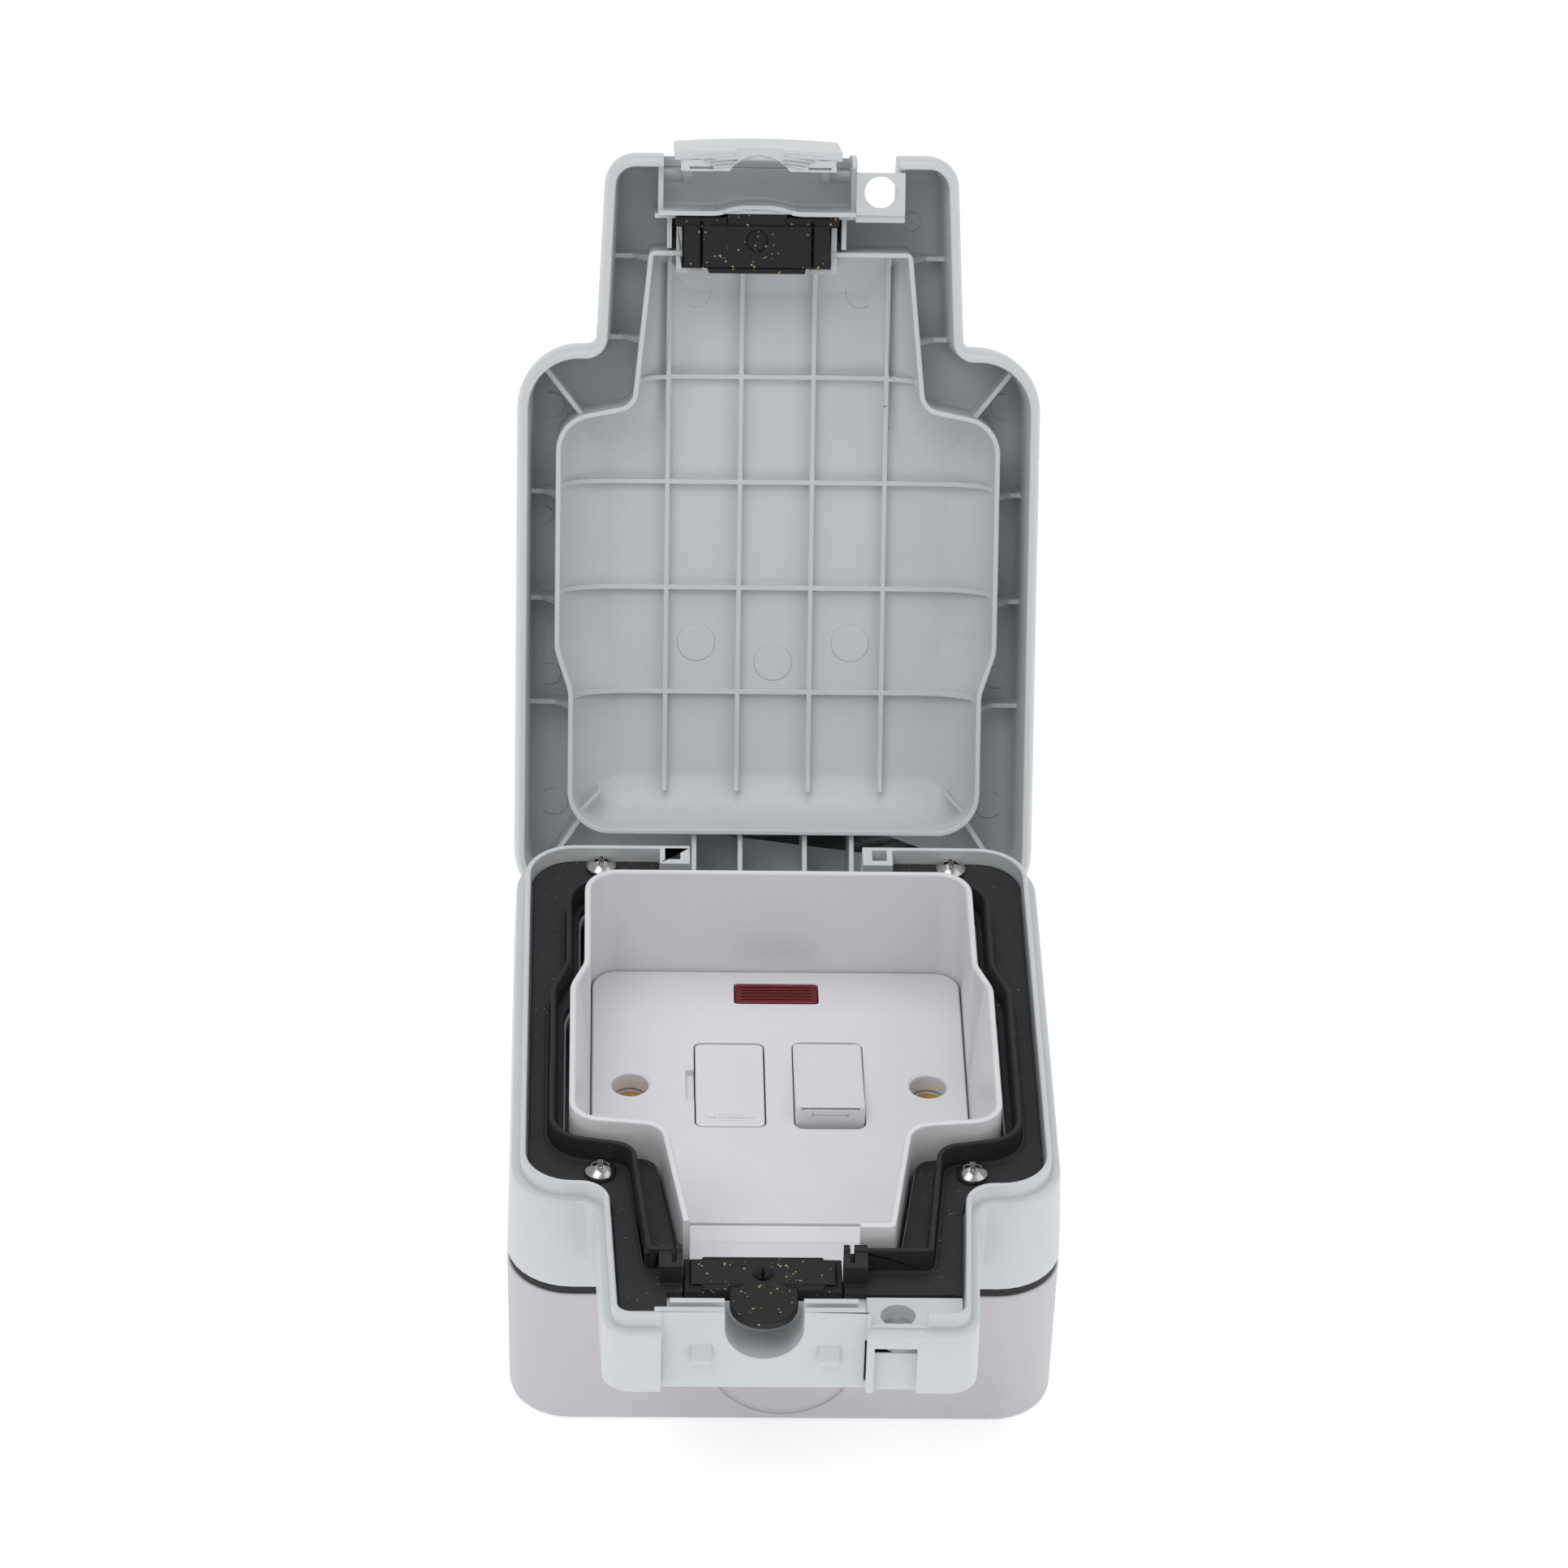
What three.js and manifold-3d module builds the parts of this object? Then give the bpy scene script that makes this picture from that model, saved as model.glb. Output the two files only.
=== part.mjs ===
// Weatherproof switched fused connection unit: wall box, hinged lid with a snap latch, fuse carrier,
// rocker switch and neon indicator. Millimetres. The box lies on its back: Z points out of the wall,
// +Y runs to the hinge end and -Y to the nose that carries the latch and the cable exit.
// The origin is the centre of the wall face. The lid stands open against its stop.
import * as THREE from 'three';
import { mergeVertices } from 'three/addons/utils/BufferGeometryUtils.js';
import Module from 'manifold-3d';

const wasm = await Module();
wasm.setup();

// ---------- driving dimensions ----------
const gap = 0.3;                 // running gap between neighbouring pieces
const bodyHalfWidth = 53.6;      // front frame at its ledge
const bodyBack = 58.6;
const bodyFront = -58.7;
const bodyCornerR = 12;
const noseFront = -98.6;
const noseRootHalf = 37.4;
const noseTipHalf = noseRootHalf - 1.8;
const noseCornerR = 5.5;
const skirtFlare = 0.7;          // the frame and wall box are this much wider than the ledge

const boxHeight = 32.4;          // wall box
const boxWall = 2.2;
const boxFloor = 2.4;
const gasketHeight = 1.6;
const frameBottom = boxHeight + gasketHeight + gap;
const frameHeight = 20.46;       // from the gasket to the lid's landing
const noseBottom = frameBottom + 5.7;
const frameWall = 2.2;
const ledgeZ = frameBottom + frameHeight;
const ledgeWidth = 1.8;
const rimWidth = 1.1;
const rimTop = ledgeZ + 3.5;
const webTop = ledgeZ - 1.26;    // shelf that carries the black seal
const webBottom = webTop - 1.9;

const sealThickness = 1.4;
const lipTop = webTop + 6.5;
const lipWidth = 1.2;

const plateTop = frameBottom + 4.2;  // faceplate's front surface
const plateThickness = 2.2;
const shroudTop = ledgeZ + 8.44;
const shroudWall = 1.3;
const flangeBottom = frameBottom + gap;
const flangeTop = flangeBottom + 1.4;

const screwHoleHalf = 30.15;     // 60.3 mm between the accessory's fixing screws
const modulesY = 0.9;            // centre line of the rocker and fuse carrier
const keyWidth = 14;
const keyLength = 27.4;
const keyOffsetX = 10;
const frameScrewsX = bodyHalfWidth - 17.4;
const frameScrewsY = [bodyBack - 6.2, bodyFront + 8.8];

const latchX = -5.1;             // centre of the latch, notch and cable seals
const latchPocketHalf = 19.45;
const notchHalf = 7.5;
const padlockX = latchX + latchPocketHalf + 5.95;
const padlockY = noseFront + 6.2;
const padlockR = 3.3;

const hingeY = bodyBack - 3;
const hingeZ = ledgeZ - 11;
const lidOpenAngle = 114.6;      // degrees between shut and its stop
const pinR = 1.8;
const armInner = 15.6;
const armOuter = 17.6;
const lidTop = ledgeZ + 23.74;
const lidFloor = lidTop - 2.3;
const sealWall = 1.1;
const ribWidth = 0.9;

const latchPivotY = noseFront + 4.1;
const latchPivotZ = lidTop - 10.5;
const fuseLength = 25.4;
const fuseR = 3.175;
const fuseZ = plateTop - 11;
const rockerPivotZ = plateTop - 2;
const rockerTilt = 8;            // degrees to each side of level
const contactTilt = 6;

// ---------- materials ----------
const finish = (color, roughness, metalness = 0) =>
  new THREE.MeshStandardMaterial({ color, roughness, metalness });
const greyPlastic = finish(0xcdd1d3, 0.5);
const boxPlastic = finish(0xcac6ca, 0.5);
const whitePlastic = finish(0xdcdce0, 0.35);
const blackRubber = finish(0x2b2b2d, 0.75);
const redLens = finish(0x9a0f16, 0.2);
const brassMetal = finish(0xc9a24a, 0.35, 1);
const steelMetal = finish(0xb9bbbd, 0.3, 1);
const ceramicBody = finish(0xe7e3d6, 0.45);
const neonGlass = finish(0xd8cfc4, 0.1);

// ---------- solids ----------
function solid(geometry) {
  const bare = geometry.clone();
  bare.deleteAttribute('normal');
  bare.deleteAttribute('uv');
  const merged = mergeVertices(bare, 1e-4);
  return new wasm.Manifold(new wasm.Mesh({
    numProp: 3,
    vertProperties: new Float32Array(merged.attributes.position.array),
    triVerts: new Uint32Array(merged.index.array),
  }));
}

const join = (...solids) => solids.reduce((sum, next) => sum.add(next));
const cut = (body, ...tools) => tools.reduce((rest, tool) => rest.subtract(tool), body);

function box(x0, x1, y0, y1, z0, z1) {
  const geometry = new THREE.BoxGeometry(x1 - x0, y1 - y0, z1 - z0);
  geometry.translate((x0 + x1) / 2, (y0 + y1) / 2, (z0 + z1) / 2);
  return solid(geometry);
}

function rodZ(x, y, z0, z1, r, segments = 20) {
  const geometry = new THREE.CylinderGeometry(r, r, z1 - z0, segments);
  geometry.rotateX(Math.PI / 2);
  geometry.translate(x, y, (z0 + z1) / 2);
  return solid(geometry);
}

function rodX(x0, x1, y, z, r, segments = 16) {
  const geometry = new THREE.CylinderGeometry(r, r, x1 - x0, segments);
  geometry.rotateZ(Math.PI / 2);
  geometry.translate((x0 + x1) / 2, y, z);
  return solid(geometry);
}

function rodY(x, y0, y1, z, r, segments = 20) {
  const geometry = new THREE.CylinderGeometry(r, r, y1 - y0, segments);
  geometry.translate(x, (y0 + y1) / 2, z);
  return solid(geometry);
}

// Corner list to a closed ring of points, moved inwards by inset. Each corner is [x, y, radius] and
// becomes an arc with a fixed number of points, so rings of one outline can be lofted together.
function ring(corners, inset = 0, segments = 4) {
  const count = corners.length;
  const moved = corners.map(([x, y, r], i) => {
    const [px, py] = corners[(i + count - 1) % count];
    const [nx, ny] = corners[(i + 1) % count];
    const before = new THREE.Vector2(x - px, y - py).normalize();
    const after = new THREE.Vector2(nx - x, ny - y).normalize();
    const turn = before.cross(after);
    const inBefore = new THREE.Vector2(-before.y, before.x);
    const inAfter = new THREE.Vector2(-after.y, after.x);
    const mid = inBefore.clone().add(inAfter);
    mid.multiplyScalar(inset / (1 + inBefore.dot(inAfter)));
    const radius = Math.max(r - Math.sign(turn) * inset, 0.2);
    return { corner: new THREE.Vector2(x, y).add(mid), before, after, turn, radius };
  });
  return moved.flatMap(({ corner, before, after, turn, radius }) => {
    const angle = Math.asin(THREE.MathUtils.clamp(turn, -1, 1));
    const reach = Math.max(radius * Math.tan(Math.abs(angle) / 2), 0.15);
    const start = corner.clone().addScaledVector(before, -reach);
    const end = corner.clone().addScaledVector(after, reach);
    return Array.from({ length: segments + 1 }, (_, k) => {
      const t = k / segments;
      if (Math.abs(angle) < 0.02) return start.clone().lerp(end, t);
      const inward = new THREE.Vector2(-before.y, before.x).multiplyScalar(Math.sign(turn) * radius);
      const centre = start.clone().add(inward);
      return start.clone().rotateAround(centre, angle * t);
    });
  });
}

// Closed body through rings of equal length at rising heights.
function loft(levels) {
  const positions = levels.flatMap(([points, z]) => points.flatMap((p) => [p.x, p.y, z]));
  const count = levels[0][0].length;
  const faces = [];
  for (let level = 0; level < levels.length - 1; level += 1) {
    for (let i = 0; i < count; i += 1) {
      const a = level * count + i;
      const b = level * count + ((i + 1) % count);
      faces.push(a, b, b + count, a, b + count, a + count);
    }
  }
  const top = (levels.length - 1) * count;
  THREE.ShapeUtils.triangulateShape(levels[0][0], []).forEach(([a, b, c]) => faces.push(a, c, b));
  THREE.ShapeUtils.triangulateShape(levels.at(-1)[0], [])
    .forEach(([a, b, c]) => faces.push(top + a, top + b, top + c));
  const geometry = new THREE.BufferGeometry();
  geometry.setAttribute('position', new THREE.Float32BufferAttribute(positions, 3));
  geometry.setIndex(faces);
  return solid(geometry);
}

const prism = (points, z0, z1) => loft([[points, z0], [points, z1]]);

// A profile in the YZ plane, given as [y, z] points, carried from x0 to x1.
function profileX(profile, x0, x1) {
  const shape = new THREE.Shape(profile.map(([y, z]) => new THREE.Vector2(y, z)));
  const geometry = new THREE.ExtrudeGeometry(shape, { depth: x1 - x0, bevelEnabled: false });
  geometry.applyMatrix4(new THREE.Matrix4().set(0, 0, 1, x0, 1, 0, 0, 0, 0, 1, 0, 0, 0, 0, 0, 1));
  return solid(geometry);
}

const mirrored = (corners) => [
  ...corners.map(([x, y, r]) => [-x, y, r]),
  ...corners.map(([x, y, r]) => [x, y, r]).reverse(),
];

const unit = new THREE.Group();
function part(name, body, material, parent = unit) {
  const data = body.getMesh();
  const geometry = new THREE.BufferGeometry();
  geometry.setAttribute('position', new THREE.BufferAttribute(data.vertProperties, 3));
  geometry.setIndex(new THREE.BufferAttribute(data.triVerts, 1));
  geometry.computeVertexNormals();
  const mesh = new THREE.Mesh(geometry, material);
  mesh.name = name;
  parent.add(mesh);
  return mesh;
}

// ---------- outlines, listed down the -X side and back up the +X side ----------
const bodyOutline = mirrored([
  [bodyHalfWidth, bodyBack, bodyCornerR],
  [bodyHalfWidth, bodyFront, bodyCornerR],
]);
const fullOutline = mirrored([
  [bodyHalfWidth, bodyBack, bodyCornerR],
  [bodyHalfWidth, bodyFront, bodyCornerR],
  [noseRootHalf, bodyFront, 3],
  [noseTipHalf, noseFront, noseCornerR],
]);

const shroudHalf = 42.4;
const shroudNeckHalf = 39.6;
const shroudBack = 41.3;
const shroudFront = noseFront + 22.6;
const shroudWaistY = -42.6;
const waistDrop = 2;
const jogTopY = 9.2;
const jogBottomY = 1.4;
const shroudOutline = mirrored([
  [shroudNeckHalf, shroudBack, 7],
  [shroudNeckHalf, jogTopY, 4],
  [shroudHalf, jogBottomY, 5],
  [shroudHalf, shroudWaistY, 6.5],
  [24.6, shroudWaistY - waistDrop, 4.5],
  [20.2, shroudFront, 1.5],
]);
const plateHalf = 38.2;          // the well narrows to this at the faceplate
const wellOutline = mirrored([
  [plateHalf, shroudBack - shroudWall, 5.7],
  [plateHalf, jogTopY, 4],
  [plateHalf, jogBottomY, 5],
  [plateHalf, shroudWaistY + shroudWall, 5.2],
  [24.1, shroudWaistY - waistDrop + shroudWall, 5.8],
  [18.9, shroudFront + shroudWall, 0.5],
]);

const lidWallHalf = 46.4;
const lidWallNeckHalf = 43.4;
const lidWallBack = 43.6;
const lidWallFront = noseFront + 19.1;
const lidWallOutline = mirrored([
  [lidWallNeckHalf, lidWallBack, 9],
  [lidWallNeckHalf, 13.5, 4],
  [lidWallHalf, 4.5, 9],
  [lidWallHalf, -44, 8],
  [30.6, -47.2, 3.5],
  [27.4, lidWallFront, 1.5],
]);

const screwSpots = frameScrewsY.flatMap((y) => [[-frameScrewsX, y], [frameScrewsX, y]]);
const cableSealHalf = 15.1;
const sealBack = shroudFront - 0.4;
const sealFront = noseFront + 12.2;
const tongueY = noseFront + 8.3;
const tongueHalf = 6.5;
const sealFloor = noseBottom + 5.3;
const sealLand = ledgeZ + 1.44;  // the two cable seals meet here

// ---------- wall box ----------
const shankR = 1.75;
const bossR = 3.1;
const pillarR = 4.6;
const insertR = 3;
const insertBottom = flangeBottom - 12.6;
const knockoutR = boxHeight / 2 - 1.35;
const knockoutZ = boxHeight / 2 + 0.8;

// The fixing spots in the floor are drill-out marks: the box stays sealed until it is fixed.
function wallBox() {
  const shell = cut(
    loft([[ring(bodyOutline, -skirtFlare + 0.5), 0], [ring(bodyOutline, -skirtFlare), boxHeight]]),
    loft([[ring(bodyOutline, -skirtFlare + boxWall + 0.4), boxFloor],
      [ring(bodyOutline, -skirtFlare + boxWall), boxHeight + 1]]),
  );
  const bosses = screwSpots.map(([x, y]) => rodZ(x, y, boxFloor - 1, flangeBottom - gap, bossR));
  const bores = screwSpots.map(([x, y]) => rodZ(x, y, 8, flangeBottom + 1, shankR + gap, 12));
  const pillars = [-1, 1].map((side) =>
    rodZ(side * screwHoleHalf, modulesY, boxFloor - 1, flangeBottom - gap, pillarR));
  const sockets = [-1, 1].map((side) =>
    rodZ(side * screwHoleHalf, modulesY, insertBottom - gap, flangeBottom + 1, insertR + 0.2));
  const grooves = [[bodyFront - 2, bodyFront - skirtFlare + 0.6], [bodyBack + skirtFlare - 0.6, bodyBack + 2]]
    .map(([y0, y1]) => cut(rodY(0, y0, y1, knockoutZ, knockoutR, 36),
      rodY(0, y0 - 1, y1 + 1, knockoutZ, knockoutR - 0.8, 36)));
  const fixings = [-1, 1].flatMap((sx) => [-1, 1].map((sy) =>
    rodZ(sx * (bodyHalfWidth - 15.6), sy * 40, -1, boxFloor - 1, 2.6, 16)));
  return cut(join(shell, ...bosses, ...pillars), ...bores, ...sockets, ...grooves, ...fixings);
}
part('back_box', wallBox(), boxPlastic);

part('box_gasket', cut(
  prism(ring(bodyOutline, -skirtFlare + 0.5), boxHeight + 0.15, boxHeight + 0.15 + gasketHeight),
  prism(ring(bodyOutline, -skirtFlare + 2.9), boxHeight - 1, frameBottom + 1),
), blackRubber);

// ---------- front frame ----------
const hingeBlockInner = armOuter + gap;
const hingeBlockOuter = 24.1;
const hingeWallFront = bodyBack - 8.2;
const hingeWallBack = bodyBack - 6.6;
const frontWallOuter = noseFront + 2.4;
const frontWallInner = noseFront + 4.2;
const pocketLeft = latchX - latchPocketHalf;
const pocketRight = latchX + latchPocketHalf;
const lugSpots = [latchX - 11.85, latchX + 12.4];
const lugHalf = 2;
const lugBottom = noseBottom + 6.5;
const lugTop = lugBottom + 3.9;
const notchZ = rimTop - 3.8;
const padlockShelf = ledgeZ - 0.1;

function hingeBlocks() {
  const low = box(-hingeBlockOuter, hingeBlockOuter, hingeWallFront, bodyBack - 0.6,
    frameBottom, ledgeZ - 0.05);
  const high = box(-hingeBlockOuter, hingeBlockOuter, hingeWallFront, bodyBack - ledgeWidth - 0.1,
    webTop, rimTop - 0.5);
  return join(low, high);
}

function hingeRecesses() {
  const swing = box(-hingeBlockInner, hingeBlockInner, hingeWallBack, bodyBack + 3,
    plateTop - 0.5, rimTop + 5);
  const sides = [-1, 1].map((side) => {
    const [x0, x1] = [side * 19.9, side * 22.9].sort((a, b) => a - b);
    return box(x0, x1, hingeWallBack, bodyBack - ledgeWidth - rimWidth, noseBottom, rimTop + 5);
  });
  const bore = rodX(-22.5, 22.5, hingeY, hingeZ, pinR + gap);
  return [swing, ...sides, bore];
}

function frontFrame() {
  const outer = join(
    loft([[ring(bodyOutline, -skirtFlare), frameBottom], [ring(bodyOutline), ledgeZ]]),
    prism(ring(fullOutline, 0.01), noseBottom, ledgeZ),
    prism(ring(fullOutline, ledgeWidth), ledgeZ - 1, rimTop),
  );
  const hollow = join(
    prism(ring(bodyOutline, frameWall), frameBottom - 1, webBottom),
    prism(ring(fullOutline, frameWall), noseBottom + 1.8, webBottom),
  );
  const pocket = prism(ring(fullOutline, ledgeWidth + rimWidth), webTop, rimTop + 1);
  const well = prism(ring(shroudOutline, -0.8), webBottom - 5, webTop + 5);
  const shell = cut(outer, hollow, pocket, well,
    box(pocketLeft, pocketRight, noseFront - 1, frontWallOuter, noseBottom - 1, rimTop + 1));
  const bosses = screwSpots.map(([x, y]) => rodZ(x, y, flangeTop + gap, webBottom + 0.5, bossR));
  const frontWall = box(pocketLeft - 1.4, pocketRight - 0.3, frontWallOuter, frontWallInner,
    noseBottom + 1, rimTop);
  const innerWall = box(pocketLeft + 1.5, pocketRight - 1.6, noseFront + 5.7, noseFront + 7.1,
    webTop - 0.5, rimTop);
  const lugs = lugSpots.map((x) => profileX([[frontWallOuter + 0.5, lugBottom],
    [frontWallOuter + 0.5, lugTop], [frontWallOuter, lugTop], [frontWallOuter - 1.5, lugBottom + 1],
    [frontWallOuter - 1.5, lugBottom]], x - lugHalf, x + lugHalf));
  const shelf = box(pocketRight + 0.1, noseTipHalf - 2.8, noseFront + 1.5, sealFront - 0.6,
    webBottom, padlockShelf);
  const padlockBox = box(pocketRight + 0.1, padlockX + 5, noseFront + 1, sealFront - 1.2,
    noseBottom + 6, webBottom + 1);
  const tray = box(latchX - cableSealHalf - 1.7, latchX + cableSealHalf + 1.7, sealFront - 1.6,
    sealBack - 1, sealFloor - 1.8, webTop);
  const noseFloor = box(-bodyHalfWidth - 6, bodyHalfWidth + 6, noseFront, bodyFront + 1.9,
    frameBottom - 4.3, noseBottom + 1.8);
  const body = join(shell, ...bosses, frontWall, innerWall, ...lugs, shelf, padlockBox, tray,
    hingeBlocks());
  return cut(body,
    ...hingeRecesses(),
    ...screwSpots.map(([x, y]) => rodZ(x, y, flangeTop - 1, webTop + 1, shankR + gap, 12)),
    cut(prism(ring(shroudOutline, -0.8), flangeTop + 0.5, webTop + 5), noseFloor),
    box(latchX - cableSealHalf - gap, latchX + cableSealHalf + gap, sealFront - gap, sealBack + 2,
      sealFloor - gap, rimTop + 12),
    rodY(latchX, noseFront - 1, frontWallInner + 0.1, notchZ, notchHalf, 24),
    box(latchX - notchHalf, latchX + notchHalf, noseFront - 1, frontWallInner + 0.1, notchZ, rimTop + 1),
    box(latchX - notchHalf, latchX + notchHalf, frontWallInner - 0.1, sealFront, webTop + 0.5, rimTop + 1),
    rodZ(padlockX, padlockY, noseBottom + 8, rimTop + 1, padlockR, 24),
    box(padlockX - 4.5, padlockX + 3.6, noseFront - 1, padlockY + padlockR,
      noseBottom + 9, webBottom - 0.2),
    box(padlockX - 4.5, padlockX + 3.6, noseFront - 1, noseFront + 1.9, noseBottom - 1,
      noseBottom + 10),
  );
}
part('front_frame', frontFrame(), greyPlastic);

// ---------- black seal on the frame, with its standing lip and the cable seal's brackets ----------
const sealBottom = webTop + gap;
const sealTop = sealBottom + sealThickness;
const bracketLeft = [latchX - cableSealHalf - 4.8, latchX - cableSealHalf - gap];
const bracketRight = [latchX + cableSealHalf + gap, latchX + cableSealHalf + 4.8];

function frameSeal() {
  const sheet = prism(ring(fullOutline, ledgeWidth + rimWidth + 0.4), sealBottom, sealTop);
  const lip = cut(prism(ring(lidWallOutline, 0), sealBottom, lipTop),
    prism(ring(lidWallOutline, lipWidth), sealBottom - 1, lipTop + 1));
  const brackets = [bracketLeft, bracketRight].map(([x0, x1]) =>
    box(x0, x1, sealFront + 2.5, sealBack - 0.5, sealBottom, lipTop - 0.6));
  return cut(join(sheet, lip, ...brackets),
    prism(ring(shroudOutline, -1.1), sealBottom - 1, sealTop + 0.01),
    box(bracketLeft[1], bracketRight[0], sealFront - gap, shroudFront + 3, sealBottom - 1, lipTop + 1),
    box(pocketLeft + 1, pocketRight + 0.1, noseFront, sealFront + 0.1, sealBottom - 1, lipTop + 1),
    box(pocketLeft - 2, pocketRight + 0.1, noseFront, frontWallInner + gap, sealBottom - 1, lipTop + 1),
    box(pocketRight - 0.3, noseTipHalf, noseFront, sealFront - gap, sealBottom - 1, lipTop + 1),
    box(-hingeBlockOuter - gap, hingeBlockOuter + gap, hingeWallFront - gap, bodyBack,
      sealBottom - 1, lipTop + 1),
    ...screwSpots.map(([x, y]) => rodZ(x, y, sealBottom - 1, lipTop, shankR + gap, 12)),
  );
}
part('frame_seal', frameSeal(), blackRubber);

// ---------- white shroud that surrounds the faceplate ----------
function innerShroud() {
  const wall = cut(
    prism(ring(shroudOutline), flangeBottom, shroudTop),
    loft([[ring(wellOutline), plateTop], [ring(shroudOutline, shroudWall), shroudTop + 0.01]]),
    prism(ring(wellOutline), flangeTop, plateTop + 0.01),
  );
  const flange = prism(ring(bodyOutline, frameWall + 1), flangeBottom, flangeTop);
  const belowNose = box(-30, 30, noseFront, bodyFront + frameWall + 1, flangeBottom - 1,
    noseBottom + 2.2);
  const trough = profileX([[-44.3, plateTop - 0.3], [-44.3, plateTop - 2.3], [-53.2, plateTop - 2.7],
    [-56.8, plateTop + 4.1], [shroudFront, plateTop + 8.4], [shroudFront, plateTop + 10],
    [-56, plateTop + 5.7], [-52.5, plateTop - 1.1]], -23, 23).intersect(
    prism(ring(shroudOutline, 0.4), flangeBottom, shroudTop));
  const belowTrough = profileX([[-57.2, plateTop - 8.5], [-57.2, plateTop + 3.9],
    [shroudFront - 1, plateTop + 8.1], [shroudFront - 1, plateTop - 8.5]], -24, 24);
  return cut(join(cut(join(wall, flange), belowNose, belowTrough), trough),
    prism(ring(wellOutline, 1.6), flangeBottom - 1, flangeTop + 1).intersect(
      box(-50, 50, -43, 60, 0, shroudTop)),
    box(latchX - cableSealHalf - 0.5, latchX + cableSealHalf + 3.4, shroudFront - 1,
      shroudFront + shroudWall + 0.1, plateTop + 6.5, shroudTop + 1),
    ...screwSpots.map(([x, y]) => rodZ(x, y, flangeBottom - 1, flangeTop + 1, shankR + gap, 12)),
    box(-hingeBlockOuter - 1, hingeBlockOuter + 1, hingeWallFront - gap, bodyBack,
      flangeBottom - 4.6, flangeTop + 14),
  );
}
part('inner_shroud', innerShroud(), whitePlastic);

// ---------- faceplate ----------
const plateBottom = plateTop - plateThickness;
const neonWidth = 17.2;
const neonHeight = 6.9;
const neonY = 32;
const neonBayFloor = plateTop - 11.5;
function keyHole(side, slack) {
  const halfX = keyWidth / 2 + 0.2;
  const halfY = keyLength / 2 + slack;
  return box(side * keyOffsetX - halfX, side * keyOffsetX + halfX, modulesY - halfY, modulesY + halfY,
    plateBottom - 1, plateTop + 1);
}

function facePlate() {
  const sheet = prism(ring(wellOutline, gap), plateBottom, plateTop)
    .intersect(box(-60, 60, -44, 60, 0, shroudTop));
  const bosses = [-1, 1].map((side) =>
    rodZ(side * screwHoleHalf, modulesY, flangeBottom, plateBottom + 0.1, 5.2));
  return cut(join(sheet, ...bosses),
    ...[-1, 1].map((side) =>
      rodZ(side * screwHoleHalf, modulesY, flangeBottom - 4.6, plateTop + 1, 3.75, 24)),
    keyHole(-1, 0.4), keyHole(1, 0.75),
    box(-keyOffsetX - keyWidth / 2 - 1.9, -keyOffsetX - keyWidth / 2, -4.3, 5.8,
      plateTop - 1.4, plateTop + 1),
    box(-neonWidth / 2 - 0.1, neonWidth / 2 + 0.1, neonY - neonHeight / 2 - 0.1, neonY + neonHeight / 2 + 0.1,
      plateBottom - 1, plateTop + 1),
  );
}
part('face_plate', facePlate(), whitePlastic);

// ---------- rear moulding of the accessory, with its bays ----------
const housing = { x: 24.5, y0: -19.5, y1: 37, z0: plateTop - 23.5, z1: plateBottom - gap };
const bayHalfY = keyLength / 2 + 0.9;
const terminalSpots = [-18.5, -7, 7, 18.5].map((x) => [x, 22.3]).concat([[0, 32.3]]);
const terminalNames = ['load_live', 'supply_live', 'supply_neutral', 'load_neutral', 'earth'];
const terminalHalfX = 3.6;
const terminalHalfY = 3.6;
const terminalZ = [housing.z0 + 0.5, housing.z0 + 8.5];
const poles = [-3, 3].map((x) => keyOffsetX + x);
const poleNames = ['live', 'neutral'];
const housingScrews = [[-20, -15.5], [20, -15.5]];

function moduleHousing() {
  const bay = (x0, x1, z0) => box(x0, x1, modulesY - bayHalfY, modulesY + bayHalfY, z0, plateTop + 1.5);
  return cut(box(-housing.x, housing.x, housing.y0, housing.y1, housing.z0, housing.z1),
    bay(-keyOffsetX - keyWidth / 2 - 0.5, -keyOffsetX + keyWidth / 2 + 0.5, housing.z0 + 4.5),
    bay(keyOffsetX - keyWidth / 2 - 0.5, keyOffsetX + keyWidth / 2 + 0.5, housing.z0 + 2),
    box(-10, 10, neonY - 4.5, neonY + 3.9, neonBayFloor, plateTop + 1.5),
    ...terminalSpots.map(([x, y]) => box(x - terminalHalfX - gap, x + terminalHalfX + gap,
      y - terminalHalfY - gap, y + terminalHalfY + gap, housing.z0 - 1, terminalZ[1] + gap)),
    ...housingScrews.map(([x, y]) => rodZ(x, y, housing.z0 - 1, housing.z1 + 1, 1.3 + gap, 12)),
  );
}
part('module_housing', moduleHousing(), whitePlastic);

terminalSpots.forEach(([x, y], i) => {
  const block = cut(box(x - terminalHalfX, x + terminalHalfX, y - terminalHalfY, y + terminalHalfY,
    terminalZ[0] - 3.5, terminalZ[1]),
  rodY(x, y - 5, y + 5, terminalZ[0] + 0.6, 1.9, 14),
  rodZ(x, y, terminalZ[0] - 5, terminalZ[0] + 0.5, 1.7, 12));
  part(`terminal_${terminalNames[i]}`, block, brassMetal);
  const screw = cut(join(rodZ(x, y, terminalZ[0] - 5.6, terminalZ[0] - 3.8, 2.5, 14),
    rodZ(x, y, terminalZ[0] - 4, terminalZ[0] - 0.6, 1.4, 12)),
  box(x - 3, x + 3, y - 0.4, y + 0.4, terminalZ[0] - 6, terminalZ[0] - 4.8));
  part(`terminal_screw_${terminalNames[i]}`, screw, brassMetal);
});

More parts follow.
